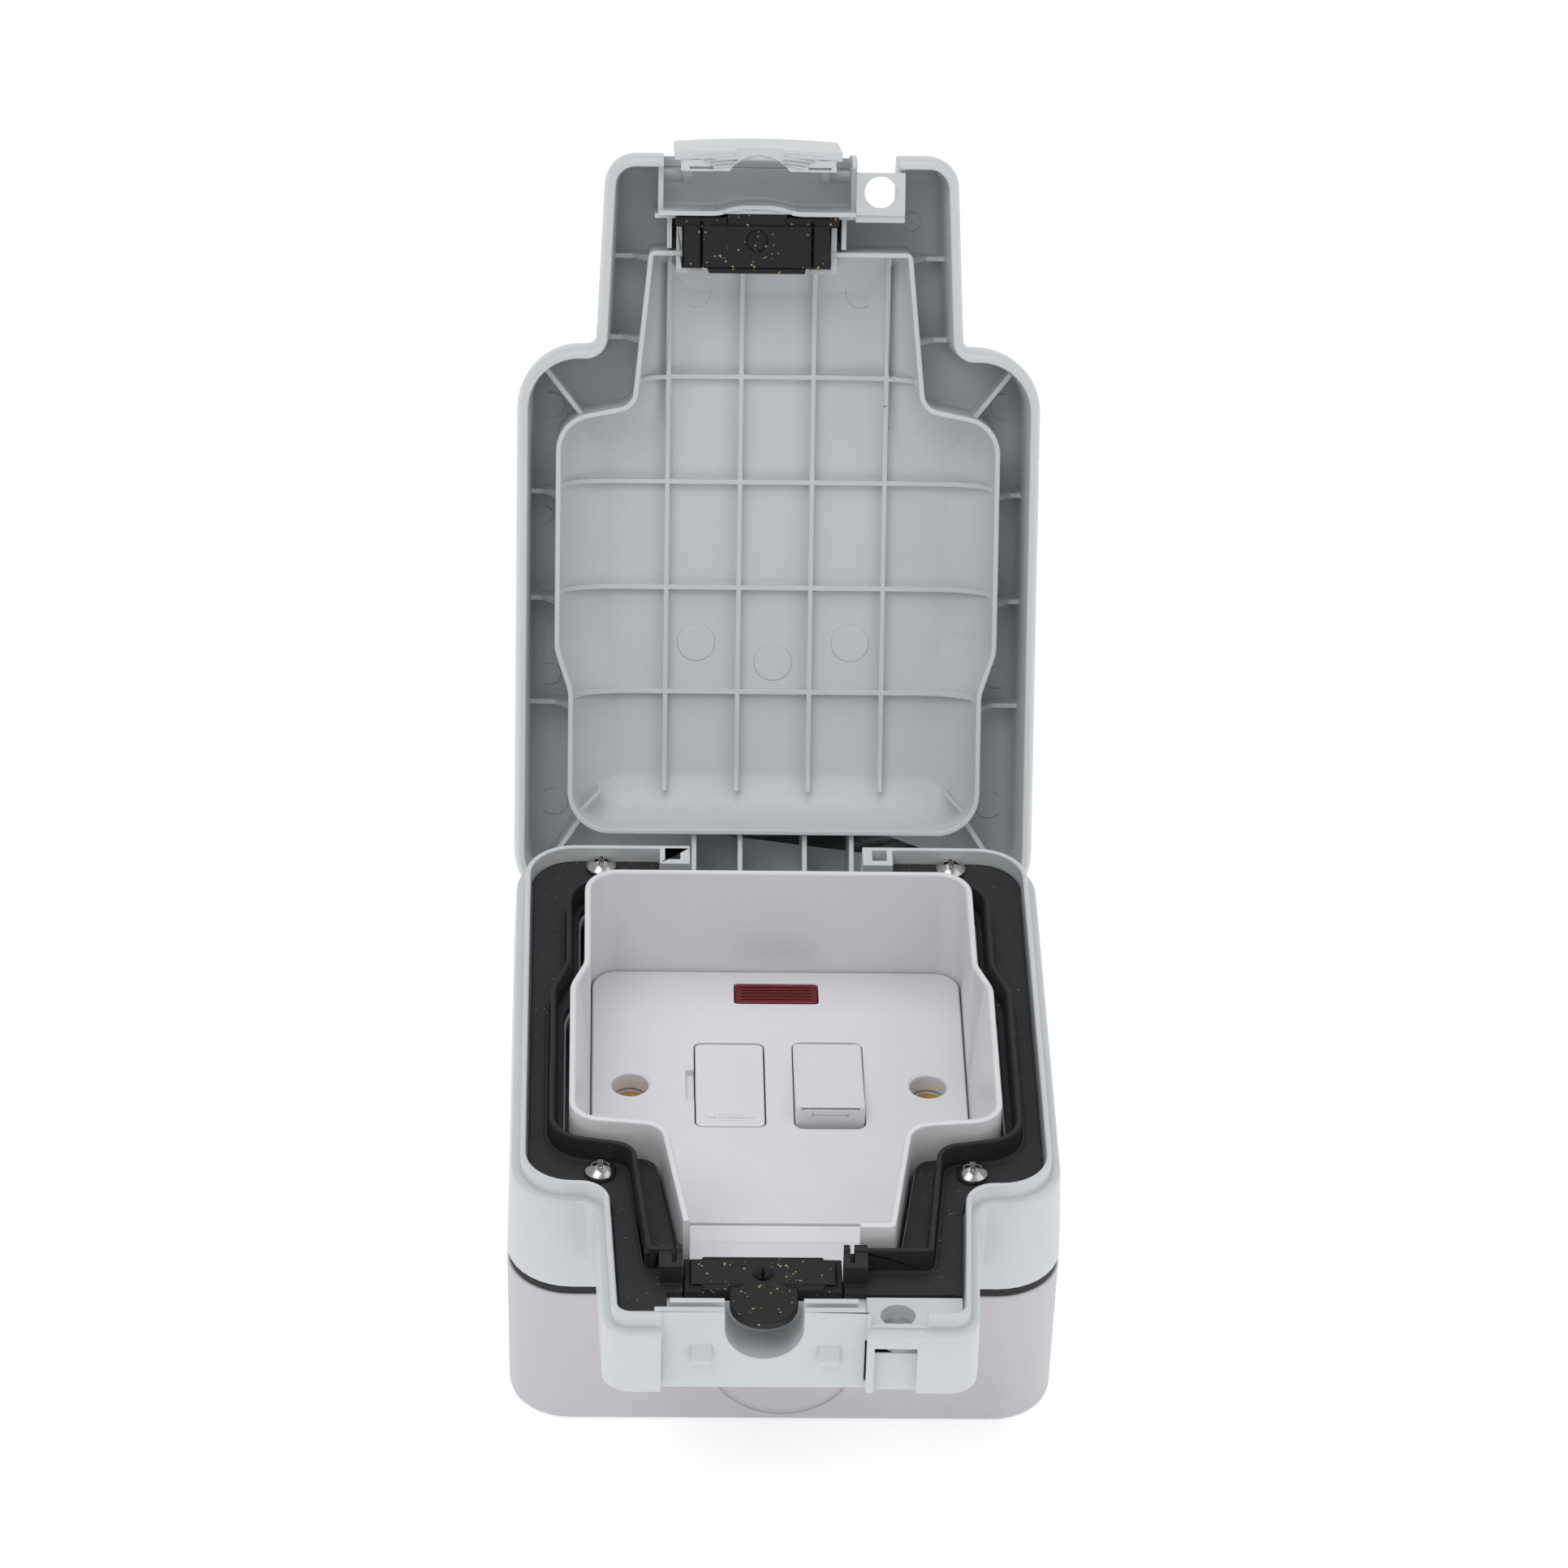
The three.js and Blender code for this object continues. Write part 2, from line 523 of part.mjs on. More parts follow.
housingScrews.forEach(([x, y], i) => {
  const screw = cut(join(rodZ(x, y, housing.z0 - 2.2, housing.z0 - gap, 2.6, 14),
    rodZ(x, y, housing.z0 - 0.5, plateBottom - gap, 1.3, 12)),
  box(x - 0.4, x + 0.4, y - 1.6, y + 1.6, housing.z0 - 3, housing.z0 - 1.3),
  box(x - 1.6, x + 1.6, y - 0.4, y + 0.4, housing.z0 - 3, housing.z0 - 1.3));
  part(`housing_screw_${i + 1}`, screw, steelMetal);
});

// ---------- brass inserts and frame screws ----------
[-1, 1].forEach((side) => {
  const x = side * screwHoleHalf;
  const tube = cut(rodZ(x, modulesY, insertBottom, flangeBottom - gap, insertR),
    rodZ(x, modulesY, insertBottom - 1, flangeBottom + 1, 1.5, 14));
  part(side < 0 ? 'insert_left' : 'insert_right', tube, brassMetal);
});

screwSpots.forEach(([x, y], i) => {
  const headBottom = sealTop + 0.1;
  const profile = [[0, 0], [3.05, 0], [3.05, 1.1], [2.3, 2], [0, 2.3]];
  const head = new THREE.LatheGeometry(profile.map(([r, z]) => new THREE.Vector2(r, z)), 18);
  head.rotateX(Math.PI / 2);
  head.translate(x, y, headBottom);
  const screw = cut(join(solid(head), rodZ(x, y, headBottom - 41.3, headBottom + 0.5, shankR, 12)),
    box(x - 0.45, x + 0.45, y - 1.7, y + 1.7, headBottom + 1.1, headBottom + 4),
    box(x - 1.7, x + 1.7, y - 0.45, y + 0.45, headBottom + 1.1, headBottom + 4));
  part(`frame_screw_${i + 1}`, screw, steelMetal);
});

// ---------- neon indicator ----------
part('neon_lens', join(
  box(-neonWidth / 2 + 0.15, neonWidth / 2 - 0.15, neonY - neonHeight / 2 + 0.15,
    neonY + neonHeight / 2 - 0.15, plateBottom - 0.2, plateTop),
  box(-neonWidth / 2 - 0.9, neonWidth / 2 + 0.9, neonY - neonHeight / 2 - 0.6, neonY + neonHeight / 2 + 0.3,
    plateBottom - 1.5, plateBottom - 0.15),
), redLens);
part('neon_lamp', rodX(-8.5, 1.5, neonY, neonBayFloor + gap + 2, 2, 14), neonGlass);
part('neon_resistor', rodX(2.2, 8.2, neonY, neonBayFloor + gap + 1.2, 1.2, 12), ceramicBody);

// ---------- fuse carrier with its fuse, and the clips that grip it ----------
const carrier = new THREE.Group();
unit.add(carrier);
function fuseCarrier() {
  const x = -keyOffsetX;
  const half = keyWidth / 2 - 0.05;
  const key = box(x - half, x + half, modulesY - keyLength / 2, modulesY + keyLength / 2,
    plateTop - 4.1, plateTop);
  const cheeks = [-1, 1].map((side) => box(x + side * 5.3 - 0.9, x + side * 5.3 + 0.9,
    modulesY - 5.5, modulesY + 5.5, fuseZ - 2.2, plateTop - 3.5));
  const saddle = cut(box(x - 5, x + 5, modulesY - 5.5, modulesY + 5.5, fuseZ + 1.5, plateTop - 3.5),
    rodY(x, modulesY - 7, modulesY + 7, fuseZ, fuseR + gap, 20));
  const symbolY = modulesY - 10.9;
  const symbol = join(
    cut(box(x - 3, x + 3, symbolY - 1.1, symbolY + 1.1, plateTop - 0.2, plateTop + 0.25),
      box(x - 2.6, x + 2.6, symbolY - 0.7, symbolY + 0.7, plateTop + 0.01, plateTop + 1)),
    box(x - 5, x + 5, symbolY - 0.2, symbolY + 0.2, plateTop - 0.2, plateTop + 0.25));
  const grip = box(x - half - 1, x - half + 0.6, modulesY - 1.6, modulesY + 1.9,
    plateTop - 3.5, plateTop - 1.6);
  return cut(join(key, ...cheeks, saddle, symbol), grip);
}
part('fuse_carrier', fuseCarrier(), whitePlastic, carrier);
part('fuse_body', rodY(-keyOffsetX, modulesY - fuseLength / 2 + 5.9, modulesY + fuseLength / 2 - 5.9, fuseZ,
  fuseR - 0.2, 20), ceramicBody, carrier);
[-1, 1].forEach((side) => {
  const end = modulesY + side * fuseLength / 2;
  const [y0, y1] = [end, end - side * 5.7].sort((a, b) => a - b);
  part(side < 0 ? 'fuse_cap_front' : 'fuse_cap_rear', rodY(-keyOffsetX, y0, y1, fuseZ, fuseR, 20),
    steelMetal, carrier);
});
[-1, 1].forEach((side) => {
  const x = -keyOffsetX;
  const y = modulesY + side * (fuseLength / 2 - 3.2);
  const jaw = (s) => box(x + s * (fuseR + 0.6) - 0.3, x + s * (fuseR + 0.6) + 0.3, y - 1.9, y + 1.9,
    fuseZ - 7.3, fuseZ + 3.5);
  const clip = join(jaw(-1), jaw(1), box(x - fuseR - 0.9, x + fuseR + 0.9, y - 1.9, y + 1.9,
    fuseZ - 7.7, fuseZ - 6.9));
  part(side < 0 ? 'fuse_clip_front' : 'fuse_clip_rear', clip, brassMetal);
});

// ---------- rocker, its plungers and the see-saw contacts ----------
const rad = THREE.MathUtils.degToRad;
const rockerSwing = new THREE.Group();
rockerSwing.position.set(keyOffsetX, modulesY, rockerPivotZ);
rockerSwing.rotation.x = -rad(rockerTilt);
unit.add(rockerSwing);

function rockerKey() {
  const half = keyWidth / 2;
  const end = keyLength / 2 - 0.1;
  const profile = [[-end, 3.8], [-end + 0.9, -2.5], [-6, -5.1], [6, -5.1], [end - 0.9, -2.5], [end, 3.8],
    [end - 0.4, 4], [0, 3.4], [-end + 0.4, 4]];
  const sockets = poles.map((x) => rodZ(x - keyOffsetX, 0, -9, 1.1, 1.9, 14));
  const sleeves = poles.map((x) => rodZ(x - keyOffsetX, 0, -7.9, -4.5, 2.7, 14));
  return cut(join(profileX(profile, -half, half), ...sleeves), ...sockets);
}
part('rocker', rockerKey(), whitePlastic, rockerSwing);
poles.forEach((x, i) => {
  const local = x - keyOffsetX;
  const plunger = join(rodZ(local, 0, -10.1, -5.1, 1.6, 14), rodZ(local, 0, -13.75, -10, 1, 12));
  part(`plunger_${poleNames[i]}`, plunger, whitePlastic, rockerSwing);
  const turns = 4;
  const steps = 7 * turns;
  const coil = Array.from({ length: steps + 1 }, (_, k) => {
    const angle = (2 * Math.PI * turns * k) / steps;
    return new THREE.Vector3(local + 1.1 * Math.cos(angle), 1.1 * Math.sin(angle), -4.5 + (5 * k) / steps);
  });
  const wire = new THREE.Shape(Array.from({ length: 5 }, (_, k) => new THREE.Vector2(
    0.22 * Math.cos((2 * Math.PI * k) / 5), 0.22 * Math.sin((2 * Math.PI * k) / 5))));
  const spring = new THREE.ExtrudeGeometry(wire, {
    extrudePath: new THREE.CatmullRomCurve3(coil), steps: steps, bevelEnabled: false,
  });
  part(`plunger_spring_${poleNames[i]}`, solid(spring), steelMetal, rockerSwing);
});

const contactZ = rockerPivotZ - 14.5;
poles.forEach((x, i) => {
  const seesaw = new THREE.Group();
  seesaw.position.set(x, modulesY, contactZ);
  seesaw.rotation.x = rad(contactTilt);
  unit.add(seesaw);
  const arm = join(box(-1.6, 1.6, -9, 9, -0.45, 0.45), rodZ(0, 7.6, -1.2, -0.3, 1.2, 12));
  part(`contact_arm_${poleNames[i]}`, arm, brassMetal, seesaw);
  const pad = join(box(x - 1.7, x + 1.7, modulesY + 5.5, modulesY + 11, contactZ - 4.7, contactZ - 3.4),
    rodZ(x, modulesY + 7.6, contactZ - 3.5, contactZ - 2.4, 1.2, 12));
  part(`fixed_contact_${poleNames[i]}`, pad, brassMetal);
  const post = box(x - 1.7, x + 1.7, modulesY - 1.1, modulesY + 1.1,
    contactZ - 4.7, contactZ - 0.85);
  part(`pivot_post_${poleNames[i]}`, post, brassMetal);
});

// ---------- cable seal in the frame ----------
function lowerCableSeal() {
  const block = box(latchX - cableSealHalf, latchX + cableSealHalf, sealFront, sealBack,
    sealFloor, sealLand);
  const tongue = join(rodZ(latchX, tongueY, sealLand - 1.7, sealLand, tongueHalf, 24),
    box(latchX - tongueHalf, latchX + tongueHalf, tongueY, sealFront + 0.5, sealLand - 1.7, sealLand));
  return cut(join(block, tongue), rodZ(latchX, sealFront + 4.4, sealLand - 1.6, sealLand + 1, 2.4, 16));
}
part('cable_seal_lower', lowerCableSeal(), blackRubber);

// ---------- lid, drawn shut and turned open about its hinge ----------
const lidPivot = new THREE.Group();
lidPivot.position.set(0, hingeY, hingeZ);
lidPivot.rotation.x = -rad(lidOpenAngle);
const lidGroup = new THREE.Group();
lidGroup.position.set(0, -hingeY, -hingeZ);
lidPivot.add(lidGroup);
unit.add(lidPivot);

const lidEdge = ledgeZ + 0.35;
const pocketBack = noseFront + 10.4;
const pocketEdge = rimTop + 0.45;
const pocketTop = lidFloor - 1.9;
const ribDepth = 4.7;
const sealWallEdge = lipTop + gap;
const ribX = [-22.7, -8, 7.1, 22.6];
const ribY = [-50.7, -28.7, -6.3, 15.9];
const sideRibY = [-60.5, -26.4, -3.8, 18.5];

function lidRibs() {
  const inner = prism(ring(lidWallOutline, 0.5), lidFloor - 16, lidFloor + 0.5);
  const long = ribX.map((x) => box(x - ribWidth / 2, x + ribWidth / 2, -90, 36,
    lidFloor - ribDepth, lidFloor + 0.4));
  const cross = ribY.map((y) => box(-50, 50, y - ribWidth / 2, y + ribWidth / 2,
    lidFloor - ribDepth, lidFloor + 0.4));
  return join(...long, ...cross).intersect(inner);
}

function lidSideRibs() {
  const bottom = lidFloor - 13.2;
  const reach = bodyHalfWidth + 6;
  const band = cut(prism(ring(fullOutline, 1), bottom - 3, lidFloor + 0.4),
    prism(ring(lidWallOutline, 0.5), bottom - 4, lidFloor + 1));
  const ribs = [...sideRibY, -77.55].map((y) =>
    box(-reach, reach, y - ribWidth / 2, y + ribWidth / 2, bottom, lidFloor + 0.4));
  const diagonal = [[-1, 1], [1, 1], [-1, -1], [1, -1]].map(([sx, sy]) => {
    const bar = new THREE.BoxGeometry(24, ribWidth, 13);
    bar.rotateZ((sx * sy * Math.PI) / 4);
    bar.translate(sx * (bodyHalfWidth - 9.6), sy < 0 ? bodyFront + 9.7 : bodyBack - 13.6, bottom + 6.6);
    return solid(bar);
  });
  return join(...ribs, ...diagonal).intersect(band);
}

function lidHinge() {
  const arms = [-1, 1].flatMap((side) => {
    const [x0, x1] = [side * armInner, side * armOuter].sort((a, b) => a - b);
    const [p0, p1] = [side * (armOuter - 0.3), side * 22.2].sort((a, b) => a - b);
    const plate = profileX([[hingeY - 2.7, hingeZ + 0.04], [hingeY - 1.9, hingeZ - 2.06],
      [hingeY, hingeZ - 2.86], [hingeY + 2, hingeZ - 2.06], [hingeY + 2.8, hingeZ + 0.04],
      [hingeY + 2.9, lidEdge + 10.9], [hingeY - 2.7, lidEdge + 10.9]], x0, x1);
    return [plate, rodX(p0, p1, hingeY, hingeZ, pinR)];
  });
  const skirt = cut(box(-armInner - 0.5, armInner + 0.5, bodyBack - 1.3, bodyBack,
    lidEdge - 6.11, lidEdge + 4.89),
    box(-5.1, 5.1, bodyBack - 2.6, bodyBack + 1.4, lidEdge - 4.71, lidEdge - 3.11));
  const ribs = [-6.9, 6.7].map((x) => box(x - 0.45, x + 0.45, bodyBack - 5.1, bodyBack - 0.6,
    lidEdge - 0.11, lidEdge + 12.89));
  return join(...arms, skirt, ...ribs);
}

function lid() {
  const outer = loft([
    [ring(fullOutline, 0.1), lidEdge], [ring(fullOutline, -0.9), lidEdge + 1.5],
    [ring(fullOutline, -0.4), lidTop - 8.5], [ring(fullOutline, 0.9), lidTop - 3.5],
    [ring(fullOutline, 3), lidTop - 1.1],
    [ring(fullOutline, 6.5), lidTop],
  ]);
  const inner = loft([
    [ring(fullOutline, ledgeWidth - 0.5), lidEdge - 1], [ring(fullOutline, ledgeWidth - gap), lipTop],
    [ring(fullOutline, ledgeWidth + 1), lidFloor - 3.7], [ring(fullOutline, 5), lidFloor],
  ]);
  const sealRing = cut(prism(ring(lidWallOutline), sealWallEdge, lidFloor + 0.5),
    prism(ring(lidWallOutline, sealWall), lipTop - 1, lidFloor + 1),
    box(latchX - cableSealHalf - 0.4, latchX + cableSealHalf + 0.4, lidWallFront - 1, lidWallFront + 3,
      lipTop - 1, lidFloor));
  const holder = [-1, 1].map((side) => {
    const x = latchX + side * (cableSealHalf + 0.95);
    return box(x - 0.6, x + 0.6, sealFront + 1.8, sealBack + 0.8, lipTop + 0.5, lidFloor + 0.4);
  });
  const pocketWalls = join(
    box(pocketLeft - 1.1, pocketLeft, noseFront + 1, pocketBack, pocketEdge, lidFloor + 0.4),
    box(pocketRight, pocketRight + 1.1, noseFront + 1, pocketBack, pocketEdge, lidFloor + 0.4),
    box(pocketLeft - 1.1, pocketRight + 1.1, pocketBack, pocketBack + 1, lidEdge + 0.6, lidFloor + 0.4),
    box(pocketLeft - 1, pocketRight + 1, noseFront + 3, pocketBack + 0.5, pocketTop, lidFloor + 0.4));
  const lug = box(pocketRight + 0.9, padlockX + 5.1, noseFront + 3.1, pocketBack + 0.6,
    lidEdge + 0.6, lidEdge + 2.2);
  const lugWall = box(padlockX + 4, padlockX + 5.1, noseFront + 3.1, pocketBack + 0.6,
    lidEdge + 0.6, lidEdge + 10.89);
  const lugRoof = box(pocketRight + 0.9, padlockX + 5.1, noseFront + 1, pocketBack + 0.6,
    lidEdge + 9.89, lidEdge + 11.09);
  return cut(join(cut(outer, inner), sealRing, ...holder, pocketWalls, lug, lugWall, lugRoof, lidRibs(),
    lidSideRibs(), lidHinge()),
  box(pocketLeft, pocketRight, noseFront - 3, pocketBack, lidEdge - 2, pocketTop),
  box(padlockX - 4.1, padlockX + 3, noseFront - 3, noseFront + 2.5, lidEdge - 2,
    lidEdge + 9.89),
  rodZ(padlockX, padlockY, lidEdge - 5.11, lidEdge + 4.89, padlockR, 24),
  box(latchX - tongueHalf - 0.6, latchX + tongueHalf + 0.6, noseFront, sealFront,
    lidEdge - 5.11, sealLand + 0.4),
  rodX(pocketLeft - 3, pocketRight + 3, latchPivotY, latchPivotZ, 1.7, 14));
}
part('lid', lid(), greyPlastic, lidGroup);

function upperCableSeal() {
  const block = box(latchX - cableSealHalf, latchX + cableSealHalf, sealFront + 1.2, sealBack + 0.1,
    sealLand + 0.4, sealLand + 13.8);
  const flange = box(latchX - cableSealHalf - 1.9, latchX + cableSealHalf + 1.9, sealFront - 0.5,
    sealFront + 1.4, sealLand + 0.4, sealLand + 9.8);
  const step = box(latchX - 10, latchX + 10, sealBack - 0.1, sealBack + 1.2, sealLand + 0.4, sealLand + 11.8);
  return cut(join(block, flange, step),
    rodZ(latchX, sealFront + 4.4, sealLand - 1.2, sealLand + 1.8, 2.4, 16));
}
part('cable_seal_upper', upperCableSeal(), blackRubber, lidGroup);

// ---------- latch ----------
const latchFront = noseFront - 3.3;
const latchBack = noseFront - 1;
const latchLeft = pocketLeft + 2.15;
const latchRight = pocketRight - 2.75;
const latchBottom = noseBottom + 4;
const latchTop = latchPivotZ + 2.5;
function latchClip() {
  const plate = profileX([[latchFront, latchBottom + 2], [latchFront + 0.7, latchBottom],
    [latchBack, latchBottom], [latchBack, latchTop - 0.5], [latchBack - 0.6, latchTop],
    [latchFront + 0.6, latchTop], [latchFront, latchTop - 1.5]], latchLeft, latchRight);
  const webSpots = [[latchLeft + 2, latchLeft + 3.8], [latchRight - 3.4, latchRight - 1.6]];
  const webs = webSpots.map(([x0, x1]) => profileX([[latchBack - 0.2, latchPivotZ - 8],
    [latchBack + 2.2, latchPivotZ - 8], [latchPivotY + 1.6, latchPivotZ - 1.8],
    [latchPivotY + 1.6, latchPivotZ + 1], [latchPivotY - 0.5, latchPivotZ + 2],
    [latchBack - 0.2, latchPivotZ + 2]], x0, x1));
  const pins = [rodX(pocketLeft - 0.6, latchLeft + 3.6, latchPivotY, latchPivotZ, 1.3, 12),
    rodX(latchRight - 3.2, pocketRight + 0.6, latchPivotY, latchPivotZ, 1.3, 12)];
  const hooks = lugSpots.map((x) => profileX([[latchBack - 0.2, lugBottom - 2.5],
    [latchBack + 1, lugBottom - 2.4],
    [frontWallOuter - 1, lugBottom - 1.4], [frontWallOuter - 1, lugBottom - 0.4],
    [latchBack - 0.2, lugBottom - 0.4]], x - lugHalf, x + lugHalf));
  const bar = box(latchLeft + 3.4, latchRight - 2.6, latchBack - 0.2, latchBack + 1.2,
    latchPivotZ - 10, latchPivotZ - 8.4);
  return cut(join(plate, ...webs, ...pins, ...hooks, bar),
    rodY(latchX, latchFront - 1.1, latchBack + 0.6, latchBottom - 5, notchHalf - 0.3, 24));
}
part('latch_clip', latchClip(), greyPlastic, lidGroup);

export default unit;
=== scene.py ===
import math

import bmesh
import bpy
import numpy as np
from mathutils import Matrix


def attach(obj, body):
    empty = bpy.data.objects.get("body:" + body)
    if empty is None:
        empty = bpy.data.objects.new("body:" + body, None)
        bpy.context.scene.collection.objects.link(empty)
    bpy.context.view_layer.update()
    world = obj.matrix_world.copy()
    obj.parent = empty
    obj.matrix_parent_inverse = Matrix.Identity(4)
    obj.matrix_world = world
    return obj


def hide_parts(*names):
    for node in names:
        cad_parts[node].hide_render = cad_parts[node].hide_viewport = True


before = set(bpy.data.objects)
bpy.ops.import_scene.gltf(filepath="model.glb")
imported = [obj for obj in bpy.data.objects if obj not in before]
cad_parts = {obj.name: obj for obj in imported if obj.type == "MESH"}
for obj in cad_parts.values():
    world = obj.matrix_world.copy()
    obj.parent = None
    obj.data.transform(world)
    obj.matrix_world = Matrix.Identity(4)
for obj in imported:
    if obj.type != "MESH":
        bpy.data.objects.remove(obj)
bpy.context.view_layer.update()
print("frame loaded:", len(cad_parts), "nodes")

mm = 0.001

# Surfaces: everything below is worked out in millimetres.

# A closed outline from corners [x, y, radius]. Each corner becomes an arc of steps + 1 points that
# starts radius * tan(turn / 2) before the corner; inset slides every side inwards by that much.
def outlineRing(corners, inset=0.0, steps=9):
    table = np.array(corners, float)
    corner, radius = table[:, :2], table[:, 2]
    before = corner - np.roll(corner, 1, axis=0)
    before /= np.linalg.norm(before, axis=1)[:, None]
    after = np.roll(before, -1, axis=0)
    turn = before[:, 0] * after[:, 1] - before[:, 1] * after[:, 0]
    inBefore = np.stack([-before[:, 1], before[:, 0]], axis=1)
    inAfter = np.roll(inBefore, -1, axis=0)
    slide = inset / (1 + (inBefore * inAfter).sum(axis=1))
    corner = corner + (inBefore + inAfter) * slide[:, None]
    side = np.sign(turn)
    radius = np.maximum(radius - side * inset, 0.15)
    angle = np.arcsin(np.clip(turn, -1, 1))
    reach = np.maximum(radius * np.tan(np.abs(angle) / 2), 0.02)
    start = corner - before * reach[:, None]
    centre = start + inBefore * (side * radius)[:, None]
    sweepAngle = angle[:, None] * np.linspace(0, 1, steps + 1)
    arm = start - centre
    x = centre[:, :1] + arm[:, :1] * np.cos(sweepAngle) - arm[:, 1:] * np.sin(sweepAngle)
    y = centre[:, 1:] + arm[:, :1] * np.sin(sweepAngle) + arm[:, 1:] * np.cos(sweepAngle)
    return np.stack([x.ravel(), y.ravel()], axis=1)


# Both halves of an outline that is the same left and right, given as its right half from back to front.
def bothSides(half):
    return [[-x, y, r] for x, y, r in half] + [[x, y, r] for x, y, r in reversed(half)]


# Six times the volume inside a set of faces, each fanned from its first corner.
def signedVolume(points, faces):
    total = 0.0
    for face in faces:
        fan = points[list(face)]
        total += np.einsum("ij,ij->i", np.cross(fan[1:-1], fan[2:]), np.tile(fan[0], (len(fan) - 2, 1))).sum()
    return total


# The same solid with its faces turned round if its volume comes out negative.
def outward(points, faces):
    if signedVolume(points, faces) < 0:
        faces = [list(face)[::-1] for face in faces]
    return points, faces


# A grid of rows and columns as a closed solid. Columns always join up; rows either join up too
# (loop) or end in flat caps.
def gridSolid(grid, loop=False):
    rows, columns = grid.shape[:2]
    index = np.arange(rows * columns).reshape(rows, columns)
    lower = index if loop else index[:-1]
    upper = np.roll(index, -1, axis=0) if loop else index[1:]
    quads = np.stack([lower, np.roll(lower, -1, axis=1), np.roll(upper, -1, axis=1), upper], axis=-1)
    faces = quads.reshape(-1, 4).tolist()
    if not loop:
        faces += [index[0][::-1].tolist(), index[-1].tolist()]
    return outward(grid.reshape(-1, 3), faces)


# A flat ring of (x, y) points lifted to height z.
def atHeight(ring, z):
    return np.column_stack([ring, np.full(len(ring), z)])


# The outline carried through (inset, z) stations: z is the height, inset how far the outline has shrunk.
def loft(corners, stations, loop=False, steps=9):
    rings = [outlineRing(corners, inset, steps) for inset, _ in stations]
    return gridSolid(np.stack([atHeight(ring, z) for ring, (_, z) in zip(rings, stations)]), loop)


# An outline carried straight up from z0 to z1.
def prism(corners, z0, z1, inset=0.0, steps=9):
    return loft(corners, [(inset, z0), (inset, z1)], steps=steps)


# A closed section of [inset, z, radius] corners swept once round an outline, such as a lip or a rim.
def lip(corners, section, steps=9, arc=4):
    return loft(corners, [tuple(p) for p in outlineRing(section, 0, arc)], loop=True, steps=steps)


# A square block between two corners.
def block(x0, x1, y0, y1, z0, z1):
    ring = np.array([[x0, y0], [x1, y0], [x1, y1], [x0, y1]], float)
    return gridSolid(np.stack([atHeight(ring, z) for z in (z0, z1)]))


# The same block for each side of a middle line: near and far are distances from it.
def twin(middle, near, far, y0, y1, z0, z1):
    return [block(*sorted([middle + side * near, middle + side * far]), y0, y1, z0, z1) for side in (-1, 1)]


# The four corners of a rectangle whose corners are rounded by r.
def rounded(x0, x1, y0, y1, r):
    return [[x0, y0, r], [x1, y0, r], [x1, y1, r], [x0, y1, r]]


# A block whose upright edges are rounded by r.
def pillow(x0, x1, y0, y1, z0, z1, r, steps=5):
    return prism(rounded(x0, x1, y0, y1, r), z0, z1, steps=steps)


# A profile of (radius, height) stations turned round an axis through (x, y, z).
def turned(stations, x, y, z, axis="z", steps=40):
    angle = np.linspace(0, 2 * np.pi, steps, endpoint=False)
    radius, height = np.array(stations, float).T
    a = radius[:, None] * np.cos(angle)
    b = radius[:, None] * np.sin(angle)
    h = np.repeat(height[:, None], steps, axis=1)
    order = {"z": (a, b, h), "x": (h, a, b), "y": (b, h, a)}[axis]
    return gridSolid(np.stack(order, axis=-1) + np.array([x, y, z], float))


# A plain cylinder from (x, y, z) along an axis.
def rod(x, y, z, length, r, axis="z", steps=40):
    return turned([(r, 0), (r, length)], x, y, z, axis, steps)


# A closed (y, z) profile of [y, z, radius] corners carried straight from x0 to x1.
def slabX(profile, x0, x1, arc=4):
    ring = outlineRing(profile, 0, arc)
    grid = np.stack([np.column_stack([np.full(len(ring), x), ring]) for x in (x0, x1)])
    return gridSolid(grid)


# A closed (x, z) profile carried along y.
def slabY(profile, y0, y1, arc=4):
    ring = outlineRing(profile, 0, arc)
    grid = np.stack([np.column_stack([ring[:, 0], np.full(len(ring), y), ring[:, 1]]) for y in (y0, y1)])
    return gridSolid(grid)


# A wall that follows a plan path of (x, y) points: the path is offset by half the width to both sides.
def pathWall(path, width, z0, z1):
    path = np.array(path, float)
    along = np.gradient(path, axis=0)
    along /= np.linalg.norm(along, axis=1)[:, None]
    out = np.column_stack([along[:, 1], -along[:, 0]]) * width / 2
    ring = np.concatenate([path + out, (path - out)[::-1]])
    return gridSolid(np.stack([atHeight(ring, z) for z in (z0, z1)]))


# A round section of radius r carried along 3-D points, closed with flat ends.
def cordSolid(points, r, sides=8):
    points = np.array(points, float)
    along = np.gradient(points, axis=0)
    along /= np.linalg.norm(along, axis=1)[:, None]
    across = np.cross(along, [0.0, 0.0, 1.0])
    across /= np.linalg.norm(across, axis=1)[:, None]
    up = np.cross(across, along)
    angle = np.linspace(0, 2 * np.pi, sides, endpoint=False)
    ring = across[:, None] * np.cos(angle)[None, :, None] + up[:, None] * np.sin(angle)[None, :, None]
    return gridSolid(points[:, None] + r * ring)


# The solid's points carried through a 4 x 4 matrix.
def movedBy(solid, matrix):
    points, faces = solid
    matrix = np.array(matrix)
    return points @ matrix[:3, :3].T + matrix[:3, 3], faces


# Joining and cutting.

# A mesh from a solid's points and faces, scaled from millimetres where asked.
def meshOf(name, solid, scale=1.0):
    mesh = bpy.data.meshes.new(name)
    mesh.from_pydata((solid[0] * scale).tolist(), [], solid[1])
    return mesh


